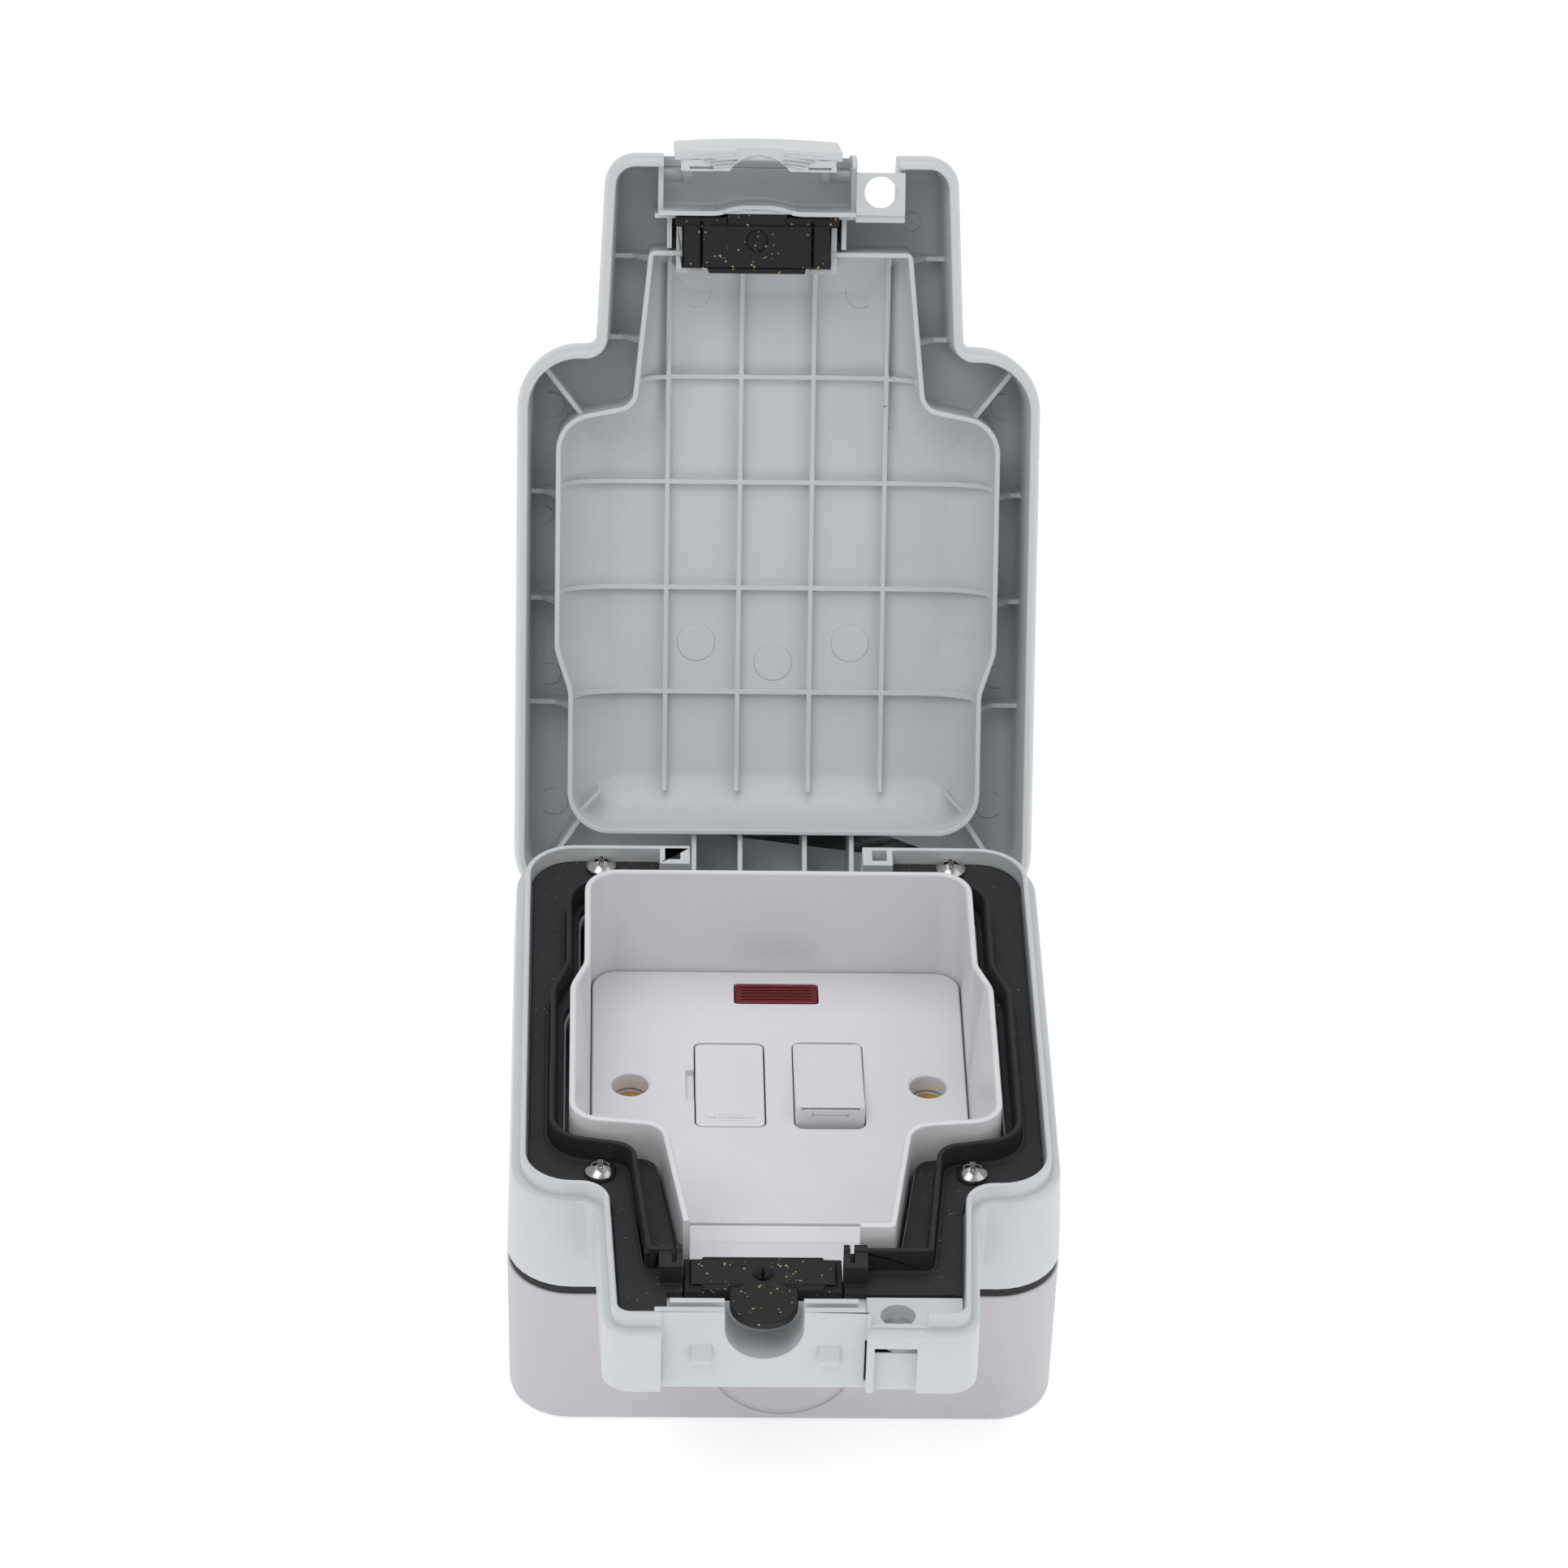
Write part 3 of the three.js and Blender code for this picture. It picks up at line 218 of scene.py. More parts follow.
# The points and faces of a mesh, read back as whole arrays.
def readMesh(mesh):
    points = np.empty(len(mesh.vertices) * 3)
    mesh.vertices.foreach_get("co", points)
    corners = np.empty(len(mesh.loops), int)
    mesh.loops.foreach_get("vertex_index", corners)
    starts = np.empty(len(mesh.polygons), int)
    mesh.polygons.foreach_get("loop_start", starts)
    return points.reshape(-1, 3), [face.tolist() for face in np.split(corners, starts[1:])]


# The base solid after a list of steps, each "add", "cut" or "keep" with the solids it uses.
def worked(base, *steps):
    operations = {"add": "UNION", "cut": "DIFFERENCE", "keep": "INTERSECT"}
    link = bpy.context.scene.collection.objects.link
    host = bpy.data.objects.new("host", meshOf("host", base))
    link(host)
    tools = []
    for word, solids in steps:
        for solid in solids:
            tool = bpy.data.objects.new("tool", meshOf("tool", solid))
            link(tool)
            tools.append(tool)
            modifier = host.modifiers.new(word, "BOOLEAN")
            modifier.operation = operations[word]
            modifier.solver = "MANIFOLD"
            modifier.object = tool
    bpy.context.view_layer.update()
    result = bpy.data.meshes.new_from_object(host.evaluated_get(bpy.context.evaluated_depsgraph_get()))
    solid = readMesh(result)
    for used in [host] + tools:
        data = used.data
        bpy.data.objects.remove(used)
        bpy.data.meshes.remove(data)
    bpy.data.meshes.remove(result)
    return solid


# Materials.

# An sRGB hex colour as linear light: v / 12.92 near black, else ((v + 0.055) / 1.055) to the power 2.4.
def linear(code, alpha=1.0):
    channels = [int(code[i:i + 2], 16) / 255 for i in (0, 2, 4)]
    return [c / 12.92 if c <= 0.04045 else ((c + 0.055) / 1.055) ** 2.4 for c in channels] + [alpha]


# One node with its socket values, incoming links and settings.
def addNode(tree, kind, values=None, links=None, **settings):
    node = tree.nodes.new(kind)
    for key, value in settings.items():
        setattr(node, key, value)
    for key, value in (values or {}).items():
        node.inputs[key].default_value = value
    for key, source in (links or {}).items():
        tree.links.new(source, node.inputs[key])
    return node


# Patterns are sized in millimetres: a noise feature is about 1 / scale of an object unit, a metre.
def perMetre(millimetres):
    return 1000 / millimetres


# A Principled material and the object coordinates that its patterns read.
def newMaterial(name, values):
    material = bpy.data.materials.new(name)
    material.use_nodes = True
    tree = material.node_tree
    shader = tree.nodes["Principled BSDF"]
    for key, value in values.items():
        shader.inputs[key].default_value = value
    place = addNode(tree, "ShaderNodeTexCoord").outputs["Object"]
    return material, tree, shader, place


# A bump whose full height is depth millimetres.
def linkBump(tree, shader, height, strength, depth):
    bump = addNode(tree, "ShaderNodeBump", {"Strength": strength, "Distance": depth * mm}, {"Height": height})
    tree.links.new(bump.outputs["Normal"], shader.inputs["Normal"])


# Injection-moulded thermoset or ABS: an even colour with the faintest cloudiness, a satin skin from the
# spark-eroded tool, and long soft waves where the wall has shrunk over the ribs.
def mouldedPlastic(name, colours, roughness, grain, grainDepth, coat=0.0):
    material, tree, shader, place = newMaterial(name, {"IOR": 1.49, "Coat Weight": coat,
                                                       "Coat Roughness": 0.3})
    cloud = addNode(tree, "ShaderNodeTexNoise", {"Scale": perMetre(22), "Detail": 3.0}, {"Vector": place})
    ramp = addNode(tree, "ShaderNodeValToRGB", links={"Fac": cloud.outputs["Fac"]})
    for element, code, spot in zip(ramp.color_ramp.elements, colours, (0.3, 0.7)):
        element.color = linear(code)
        element.position = spot
    tree.links.new(ramp.outputs["Color"], shader.inputs["Base Color"])
    rub = addNode(tree, "ShaderNodeTexNoise", {"Scale": perMetre(9), "Detail": 4.0}, {"Vector": place})
    spread = addNode(tree, "ShaderNodeMapRange", {"To Min": roughness - 0.05, "To Max": roughness + 0.05},
                     {"Value": rub.outputs["Fac"]})
    tree.links.new(spread.outputs["Result"], shader.inputs["Roughness"])
    skin = addNode(tree, "ShaderNodeTexNoise", {"Scale": perMetre(grain), "Detail": 2.0, "Roughness": 0.6},
                   {"Vector": place})
    wave = addNode(tree, "ShaderNodeTexNoise", {"Scale": perMetre(14), "Detail": 1.0}, {"Vector": place})
    height = addNode(tree, "ShaderNodeMath", {2: 0.0}, operation="MULTIPLY_ADD")
    tree.links.new(wave.outputs["Fac"], height.inputs[0])
    height.inputs[1].default_value = 0.8
    tree.links.new(skin.outputs["Fac"], height.inputs[2])
    linkBump(tree, shader, height.outputs["Value"], 0.5, grainDepth)
    return material


# Moulded elastomer: near black, dull, with pale dust and filler specks caught in its skin.
def mouldedRubber(name, colour, speckColour, speckAmount, speckSize):
    material, tree, shader, place = newMaterial(name, {"IOR": 1.5, "Specular IOR Level": 0.35})
    cells = addNode(tree, "ShaderNodeTexVoronoi", {"Scale": perMetre(speckSize * 4), "Randomness": 1.0},
                    {"Vector": place})
    thin = addNode(tree, "ShaderNodeTexNoise", {"Scale": perMetre(1.6), "Detail": 2.0}, {"Vector": place})
    reach = addNode(tree, "ShaderNodeMapRange", {"From Min": 0.52, "From Max": 0.75, "To Min": 0.0,
                                                 "To Max": speckAmount}, {"Value": thin.outputs["Fac"]})
    speck = addNode(tree, "ShaderNodeMath", operation="LESS_THAN",
                    links={0: cells.outputs["Distance"], 1: reach.outputs["Result"]})
    mix = addNode(tree, "ShaderNodeMix", data_type="RGBA")
    tree.links.new(speck.outputs["Value"], mix.inputs["Factor"])
    mix.inputs[6].default_value = linear(colour)
    mix.inputs[7].default_value = linear(speckColour)
    tree.links.new(mix.outputs[2], shader.inputs["Base Color"])
    dull = addNode(tree, "ShaderNodeTexNoise", {"Scale": perMetre(5), "Detail": 4.0}, {"Vector": place})
    spread = addNode(tree, "ShaderNodeMapRange", {"To Min": 0.5, "To Max": 0.72},
                     {"Value": dull.outputs["Fac"]})
    tree.links.new(spread.outputs["Result"], shader.inputs["Roughness"])
    skin = addNode(tree, "ShaderNodeTexNoise", {"Scale": perMetre(0.5), "Detail": 3.0}, {"Vector": place})
    linkBump(tree, shader, skin.outputs["Fac"], 0.5, 0.05)
    return material


# Turned or stamped metal: tool lines show as fine streaks in the roughness and a shallow bump.
def workedMetal(name, colour, roughness, lineWidth, stretch):
    material, tree, shader, place = newMaterial(name, {"Base Color": linear(colour), "Metallic": 1.0})
    lines = addNode(tree, "ShaderNodeMapping", {"Scale": stretch}, {"Vector": place})
    streak = addNode(tree, "ShaderNodeTexNoise", {"Scale": perMetre(lineWidth), "Detail": 3.0},
                     {"Vector": lines.outputs["Vector"]})
    spread = addNode(tree, "ShaderNodeMapRange", {"To Min": roughness - 0.08, "To Max": roughness + 0.1},
                     {"Value": streak.outputs["Fac"]})
    tree.links.new(spread.outputs["Result"], shader.inputs["Roughness"])
    linkBump(tree, shader, streak.outputs["Fac"], 0.3, 0.03)
    return material


# Clear red polycarbonate lens: deep colour, glossy, with faint moulded flutes on its back; the light the
# flutes catch is painted into the base colour as brighter red bands, a painted highlight.
def redPolycarbonate(name):
    material, tree, shader, place = newMaterial(name, {"IOR": 1.58, "Transmission Weight": 0.15,
                                                       "Roughness": 0.25, "Specular IOR Level": 0.3})
    # A wave band repeats every pi / 10 / scale of a metre, so the flutes stand 0.9 mm apart.
    fluteHighlightBands = addNode(tree, "ShaderNodeTexWave", {"Scale": perMetre(0.9) * math.pi / 10, "Distortion": 0.3},
                     {"Vector": place}, wave_type="BANDS", bands_direction="Y")
    ramp = addNode(tree, "ShaderNodeValToRGB", links={"Fac": fluteHighlightBands.outputs["Fac"]})
    # Painted highlight: the darker red is the lens's own colour, the brighter red paints the light caught by
    # the flutes.
    ramp.color_ramp.elements[0].color = linear("5E060D")
    ramp.color_ramp.elements[1].color = linear("80101A")
    tree.links.new(ramp.outputs["Color"], shader.inputs["Base Color"])
    return material


# Glazed steatite tube: off-white, glossy, with tiny pits under the glaze.
def glazedCeramic(name):
    material, tree, shader, place = newMaterial(name, {"IOR": 1.55, "Roughness": 0.25, "Coat Weight": 0.6})
    pits = addNode(tree, "ShaderNodeTexNoise", {"Scale": perMetre(1.2), "Detail": 5.0}, {"Vector": place})
    ramp = addNode(tree, "ShaderNodeValToRGB", links={"Fac": pits.outputs["Fac"]})
    ramp.color_ramp.elements[0].color = linear("D9D3C2")
    ramp.color_ramp.elements[1].color = linear("EFEBDF")
    tree.links.new(ramp.outputs["Color"], shader.inputs["Base Color"])
    linkBump(tree, shader, pits.outputs["Fac"], 0.3, 0.03)
    return material


# Drawn glass envelope: clear with a slight smoky electrode deposit.
def lampGlass(name):
    material, tree, shader, place = newMaterial(name, {"IOR": 1.5, "Transmission Weight": 0.85,
                                                       "Roughness": 0.05})
    smoke = addNode(tree, "ShaderNodeTexNoise", {"Scale": perMetre(2.5)}, {"Vector": place})
    ramp = addNode(tree, "ShaderNodeValToRGB", links={"Fac": smoke.outputs["Fac"]})
    ramp.color_ramp.elements[0].color = linear("B9AFA6")
    ramp.color_ramp.elements[1].color = linear("F2EEEA")
    tree.links.new(ramp.outputs["Color"], shader.inputs["Base Color"])
    return material


finish = {
    "lid": mouldedPlastic("satinGreyMoulding", ("CACED0", "CED2D4"), 0.4, 0.4, 0.02),
    "box": mouldedPlastic("warmGreyMoulding", ("C2BFC4", "C6C3C8"), 0.45, 0.4, 0.02),
    "white": mouldedPlastic("whiteUreaMoulding", ("DDDCE0", "E1E0E4"), 0.3, 0.6, 0.012, 0.2),
    "seal": mouldedRubber("blackSealRubber", "242427", "8A8478", 0.22, 0.2),
    "cableSeal": mouldedRubber("speckledSealRubber", "19191A", "B09A72", 0.46, 0.2),
    "lens": redPolycarbonate("clearRedPolycarbonate"),
    "brass": workedMetal("turnedBrass", "E6C264", 0.3, 0.3, (1, 1, 6)),
    "steel": workedMetal("brightNickelSteel", "B4B4B3", 0.2, 0.35, (1, 1, 5)),
    "ceramic": glazedCeramic("glazedSteatite"),
    "glass": lampGlass("drawnLampGlass"),
}
print("materials made:", len(finish))


# Finishing a piece. The lid and what it carries are worked out shut, then turned open.
openAngle = math.radians(114.6)  # from shut to the open stop
hinge = (0.0, 55.6, 43.76)  # a point on the hinge pins' axis
lidTurn = (Matrix.Translation(hinge) @ Matrix.Rotation(-openAngle, 4, "X")
           @ Matrix.Translation([-v for v in hinge]))


# Merges doubles, dissolves flat joins where tidy, rounds the edges and hands the piece to the frame.
def finishPiece(name, solid, material, body, nodes, edge=0.18, turn=None, tidy=True):
    if turn is not None:
        solid = movedBy(solid, turn)
    mesh = meshOf(name, solid, mm)
    work = bmesh.new()
    work.from_mesh(mesh)
    bmesh.ops.remove_doubles(work, verts=work.verts, dist=2e-6)
    bmesh.ops.dissolve_degenerate(work, edges=work.edges, dist=1e-6)
    if tidy:
        bmesh.ops.dissolve_limit(work, angle_limit=math.radians(0.4), verts=work.verts, edges=work.edges)
    work.to_mesh(mesh)
    work.free()
    mesh.polygons.foreach_set("use_smooth", [True] * len(mesh.polygons))
    mesh.set_sharp_from_angle(angle=math.radians(32))
    mesh.materials.append(material)
    piece = bpy.data.objects.new(name, mesh)
    bpy.context.scene.collection.objects.link(piece)
    if edge:
        bevel = piece.modifiers.new("edge", "BEVEL")
        bevel.width = edge * mm
        bevel.segments = 2
        bevel.limit_method = "ANGLE"
        bevel.angle_limit = math.radians(38)
        bevel.use_clamp_overlap = False
    # Large flat faces lead the shading, so a thin triangle beside a rib doesn't darken them.
    even = piece.modifiers.new("even", "WEIGHTED_NORMAL")
    even.mode = "FACE_AREA"
    even.weight = 80
    even.keep_sharp = True
    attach(piece, body)
    if nodes:
        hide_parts(*nodes)
    print("piece", name, len(mesh.polygons), "faces")
    return piece


# Outlines shared by the pieces.
shape = {
    "halfWidth": 53.6, "back": 58.6, "front": -58.7, "cornerR": 12,
    "noseFront": -98.6, "noseRootHalf": 37.4, "noseTipHalf": 35.6, "noseCornerR": 5.5,
    "latchX": -5.1, "pocketHalf": 19.45, "notchR": 7.5,
    "padlockX": 20.3, "padlockY": -92.4, "padlockR": 3.3,
    "ledgeZ": 54.76, "rimTop": 58.26, "ledge": 1.8, "rim": 1.1,
    "moduleY": 0.9, "keyX": 10.0, "insertX": 30.15, "screwHoleR": 2.05, "bossR": 3.1,
}
bodyOutline = bothSides([
    [shape["halfWidth"], shape["back"], shape["cornerR"]],
    [shape["halfWidth"], shape["front"], shape["cornerR"]],
])
fullOutline = bothSides([
    [shape["halfWidth"], shape["back"], shape["cornerR"]],
    [shape["halfWidth"], shape["front"], shape["cornerR"]],
    [shape["noseRootHalf"], shape["front"], 3],
    [shape["noseTipHalf"], shape["noseFront"], shape["noseCornerR"]],
])
shroudOutline = bothSides([
    [39.6, 41.3, 7], [39.6, 9.2, 8], [42.4, 1.4, 9], [42.4, -42.6, 6.5], [24.6, -44.6, 4.5], [20.2, -76, 1.5],
])
wellOutline = bothSides([
    [38.2, 40, 5.7], [38.2, 9.2, 4], [38.2, 1.4, 5], [38.2, -41.3, 5.2], [24.1, -43.3, 5.8],
    [18.9, -74.7, 0.5],
])
wallOutline = bothSides([
    [43.4, 43.6, 9], [43.4, 13.5, 6], [46.4, 4.5, 9], [46.4, -44, 8], [30.6, -47.2, 3.5], [27.4, -79.5, 1.5],
])
latchX, noseFront, padlockX = shape["latchX"], shape["noseFront"], shape["padlockX"]
moduleY, screwHoleR = shape["moduleY"], shape["screwHoleR"]
keyX, insertX = shape["keyX"], shape["insertX"]
pocketLeft = latchX - shape["pocketHalf"]
pocketRight = latchX + shape["pocketHalf"]
screwSpots = [[-36.2, 52.4], [36.2, 52.4], [-36.2, -49.9], [36.2, -49.9]]


# Wall box and its gasket.
def makeBackBox():
    size = {"top": 32.4, "floor": 2.4, "wall": 2.2, "knockoutR": 14.85, "knockoutZ": 17.0}
    top, floor, knockoutR = size["top"], size["floor"], size["knockoutR"]
    shell = loft(bodyOutline, [
        (1.9, 0), (0.9, 0.25), (0.1, 0.9), (-0.2, 2.0), (-0.7, top - 0.4), (-0.5, top),
        (1.5, top), (1.5, floor + 2.5), (2.1, floor + 0.8), (3.5, floor),
    ])
    bosses = [rod(x, y, 1.4, 32.9, shape["bossR"]) for x, y in screwSpots]
    bores = [rod(x, y, 8, 30, screwHoleR) for x, y in screwSpots]
    pillars = [rod(side * insertX, moduleY, 1.4, 32.9, 4.6) for side in (-1, 1)]
    sockets = [rod(side * insertX, moduleY, 21.7, 15, 3.2) for side in (-1, 1)]
    grooves = []
    for y in (-61.2, 58.6):
        # A ring groove: two stations out, two back in, joined round.
        radii = [(knockoutR - 1.1, 0), (knockoutR, 0), (knockoutR, 2.6), (knockoutR - 1.1, 2.6)]
        angle = np.linspace(0, 2 * np.pi, 72, endpoint=False)
        grid = np.stack([np.column_stack([r * np.sin(angle), np.full(72, y + h),
                                          size["knockoutZ"] + r * np.cos(angle)]) for r, h in radii])
        grooves.append(gridSolid(grid, loop=True))
    fixings = [rod(sx * 38, sy * 40, -1, 2.4, 2.6, steps=28) for sx in (-1, 1) for sy in (-1, 1)]
    solid = worked(shell, ("add", bosses + pillars), ("cut", bores + sockets + grooves + fixings))
    finishPiece("backBox", solid, finish["box"], "enclosure", ["back_box"], 0.15)
    gasket = lip(bodyOutline, [[-0.35, 32.5, 0.3], [-0.35, 34.2, 0.3], [2.2, 34.2, 0.2], [2.2, 32.5, 0.2]])
    finishPiece("boxGasket", gasket, finish["seal"], "enclosure", ["box_gasket"], 0)


makeBackBox()


# Front frame.
def makeFrontFrame():
    size = {"bottom": 34.3, "noseBottom": 40.0, "wall": 2.2, "webBottom": 51.6, "webTop": 53.5,
            "frontWall": [-96.2, -94.4], "innerWall": [-92.9, -91.5]}
    bottom, noseBottom = size["bottom"], size["noseBottom"]
    webBottom, webTop = size["webBottom"], size["webTop"]
    top, ledge, rim, ledgeZ = shape["rimTop"], shape["ledge"], shape["rim"], shape["ledgeZ"]
    skirt = loft(bodyOutline, [(-0.5, bottom), (-0.7, bottom + 0.4), (-0.62, 40), (-0.1, ledgeZ - 0.8),
                               (0.1, ledgeZ - 0.2), (0.45, ledgeZ)])
    nose = loft(fullOutline, [(0.9, noseBottom), (0.15, noseBottom + 0.6), (0.01, 43), (0.05, ledgeZ - 0.8),
                              (0.2, ledgeZ - 0.2), (0.5, ledgeZ)])
    raised = loft(fullOutline, [(ledge, ledgeZ - 1), (ledge, top - 0.35), (ledge + 0.12, top - 0.1),
                                (ledge + 0.4, top)])
    hollow = prism(bodyOutline, bottom - 1, webBottom, size["wall"])
    noseHollow = prism(fullOutline, noseBottom + 1.8, webBottom, size["wall"])
    pocket = loft(fullOutline, [(ledge + rim + 0.15, webTop), (ledge + rim, top - 0.35),
                                (ledge + rim - 0.12, top - 0.1), (ledge + rim - 0.4, top + 0.01),
                                (ledge + rim - 0.4, top + 1)])
    well = prism(shroudOutline, webBottom - 5, webTop + 5, -0.8)
    front, wallBack = size["frontWall"]
    latchBay = block(pocketLeft, pocketRight, noseFront - 1, front, noseBottom - 1, top + 1)
    bosses = [rod(x, y, 36.3, webBottom - 35.8, shape["bossR"], steps=28) for x, y in screwSpots]
    frontWall = block(pocketLeft - 1.4, pocketRight - 0.3, front, wallBack, noseBottom + 1, top - 0.1)
    innerWall = block(pocketLeft + 1.5, pocketRight - 1.6, *size["innerWall"], webTop - 0.5, top - 0.3)
    notchZ, notchR = top - 3.8, shape["notchR"]
    trough = rod(latchX, front, notchZ, -87.9 - front, notchR + 1.1, "y", 64)
    troughTop = block(latchX - 12, latchX + 12, front - 0.1, -87.8, notchZ, top + 12)
    trough = worked(trough, ("cut", [troughTop]))
    lugs = [slabX([[front + 0.5, 46.5, 0.1], [front - 1.5, 46.5, 0.3], [front - 1.5, 47.5, 0.4],
                   [front, 50.4, 0.2], [front + 0.5, 50.4, 0.1]], x - 2, x
                   + 2) for x in (latchX - 11.85, latchX + 12.4)]
    shelf = block(pocketRight + 0.1, shape["noseTipHalf"] - 2.8, noseFront + 1.5, -87, webBottom,
                  ledgeZ - 0.1)
    lock = block(pocketRight + 0.1, padlockX + 5, noseFront + 1, -87.6, 46, webBottom + 1)
    tray = block(latchX - 16.8, latchX + 16.8, -88, -77.4, 43.5, webTop)
    hingeLow = block(-24.1, 24.1, 50.4, 58.0, bottom, ledgeZ - 0.05)
    hingeHigh = twin(0, 17.9, 24.1, 50.4, 56.7, webTop, top - 0.1)
    hingeHigh.append(block(-24.1, 24.1, 50.4, 52, webTop, ledgeZ - 0.2))
    cuts = [block(-17.9, 17.9, 52, 62, 38, top + 5), rod(-22.5, *hinge[1:], 45, 2.1, "x")]
    cuts += twin(0, 19.9, 22.9, 52, 55.7, 46.5, top + 5)
    cuts.append(block(-17.9, 17.9, 49, 62, ledgeZ - 0.15, top + 5))
    cuts += [rod(x, y, 35, 22, screwHoleR, steps=24) for x, y in screwSpots]
    keepFloor = block(-60, 60, noseFront, shape["front"] + 1.9, 30, noseBottom + 1.8)
    cuts.append(worked(prism(shroudOutline, 36.5, webTop + 5, -0.8), ("cut", [keepFloor])))
    cuts += [
        block(latchX - 15.4, latchX + 15.4, -86.7, -74.4, 45, 70),
        rod(latchX, noseFront - 1, notchZ, 11.6, notchR, "y", 64),
        block(latchX - notchR, latchX + notchR, noseFront - 1, -88, notchZ, top + 1),
        block(latchX - notchR, latchX + notchR, wallBack - 0.1, -86.4, webTop + 0.5, top + 1),
        rod(padlockX, shape["padlockY"], 48, 12, shape["padlockR"]),
        block(15.8, 23.9, noseFront - 1, shape["padlockY"] + shape["padlockR"], 49, webBottom - 0.2),
        block(15.0, 25.7, -96.8, -95, 55.4, 60),
        block(15.8, 23.9, noseFront - 1, noseFront + 1.9, noseBottom - 1, 50),
    ]
    fills = bosses + [frontWall, innerWall, trough] + lugs + [shelf, lock, tray, hingeLow] + hingeHigh
    solid = worked(skirt, ("add", [nose, raised]), ("cut", [hollow, noseHollow, pocket, well, latchBay]),
                   ("add", fills), ("cut", cuts))
    finishPiece("frontFrame", solid, finish["lid"], "enclosure", ["front_frame"], 0.15,
                tidy=False)


makeFrontFrame()


# Black seal with its standing lip.
def makeFrameSeal():
    size = {"bottom": 53.8, "top": 55.2, "lipTop": 60.0, "lip": 1.2}
    bottom, top = size["bottom"], size["top"]
    sheet = loft(fullOutline, [(3.3, bottom), (3.3, top - 0.25), (3.55, top)])
    standing = lip(wallOutline, [[0, bottom + 0.2, 0.05], [0.15, size["lipTop"], 0.5],
                                 [size["lip"] - 0.1, size["lipTop"], 0.5],
                                 [size["lip"] + 0.5, bottom + 0.2, 0.05]])
    foot = lip(wallOutline, [[-0.9, top - 0.3, 0.05], [-0.9, top + 0.35, 0.25],
                             [-0.1, top + 0.35, 0.05], [-0.1, top - 0.3, 0.05]])
    brackets = []
    for side in (-1, 1):
        x0, x1 = sorted([latchX + side * 15.4, latchX + side * 19.9])
        brackets.append(block(x0, x1, -83.9, -76.9, bottom, 59.4))
        a0, a1 = sorted([latchX + side * 19.4, latchX + side * 22.6])
        brackets.append(block(a0, a1, -79.2, -77.6, bottom, 59.0))
    cuts = [
        prism(shroudOutline, bottom - 1, top + 0.02, -1.1),
        block(latchX - 15.4, latchX + 15.4, -86.7, -73, bottom - 1, 61),
        block(pocketLeft + 1, pocketRight + 0.1, -98.6, -86.3, bottom - 1, 61),
        block(pocketLeft - 2, pocketRight + 0.1, -98.6, -94.1, bottom - 1, 61),
        block(pocketRight - 0.3, 35.6, -98.6, -86.7, bottom - 1, 61),
        block(-24.4, 24.4, 50.1, 58.6, bottom - 1, 61),
    ] + [rod(x, y, bottom - 1, 6, screwHoleR, steps=24) for x, y in screwSpots]
    slots = twin(latchX, 16.6, 17.4, -82.5, -76, 57.2, 62)
    solid = worked(sheet, ("add", [standing, foot] + brackets), ("cut", cuts + slots))
    finishPiece("frameSeal", solid, finish["seal"], "enclosure", ["frame_seal"], 0.15)


makeFrameSeal()


# White shroud round the faceplate.
def makeShroud():
    size = {"flange": [34.6, 36.0], "top": 63.2, "wall": 1.3, "floor": 38.5}
    top = size["top"]
    outer = loft(shroudOutline, [(0.0, size["flange"][0]), (0.0, top - 0.55), (0.12, top - 0.18),
                                 (0.45, top)])
    # The well's side leans in from the rim to the faceplate: rings between the two outlines.
    ringTop = outlineRing(shroudOutline, size["wall"])
    ringLip = outlineRing(shroudOutline, size["wall"] - 0.3)
    ringFloor = outlineRing(wellOutline)
    levels = [(ringFloor, 30), (ringFloor, size["floor"]), (ringTop, top - 0.5), (ringTop, top - 0.4),
              (ringLip, top + 0.02), (ringLip, top + 1)]
    well = gridSolid(np.stack([atHeight(ring, z) for ring, z in levels]))
    flange = prism(bodyOutline, *size["flange"], 3.2)
    belowNose = block(-30, 30, -98.6, -55.5, 33, 42.2)
    trough = worked(slabX([[-44.3, 38.3, 0.6], [-44.3, 36.2, 0.2], [-53.2, 35.8, 1], [-56.8, 42.6, 1],
                           [-76, 46.9, 0.2], [-76, 48.5, 0.3], [-56, 44.2, 6], [-52.5, 37.4, 4]], -23, 23),
                    ("keep", [prism(shroudOutline, size["flange"][0], top, 0.4)]))
    belowTrough = slabX([[-57.2, 30, 0.1], [-57.2, 42.4, 0.1], [-77, 46.6, 0.1], [-77, 30, 0.1]], -24, 24)
    mouth = block(latchX - 15.6, latchX + 18.5, -77, -74.6, 45, top + 1)
    underPlate = worked(prism(wellOutline, size["flange"][0] - 1, size["flange"][1] + 1, 1.6),
                        ("keep", [block(-50, 50, -43, 60, 0, 60)]))
    screwHoles = [rod(x, y, 33, 5, screwHoleR, steps=24) for x, y in screwSpots]
    solid = worked(outer, ("cut", [well]), ("add", [flange]), ("cut", [belowNose, belowTrough]),
                   ("add", [trough]),
                   ("cut", [underPlate, mouth] + screwHoles + [block(-25.1, 25.1, 50.1, 58.6, 30, 50)]))
    finishPiece("innerShroud", solid, finish["white"], "enclosure", ["inner_shroud"], 0.12)


makeShroud()


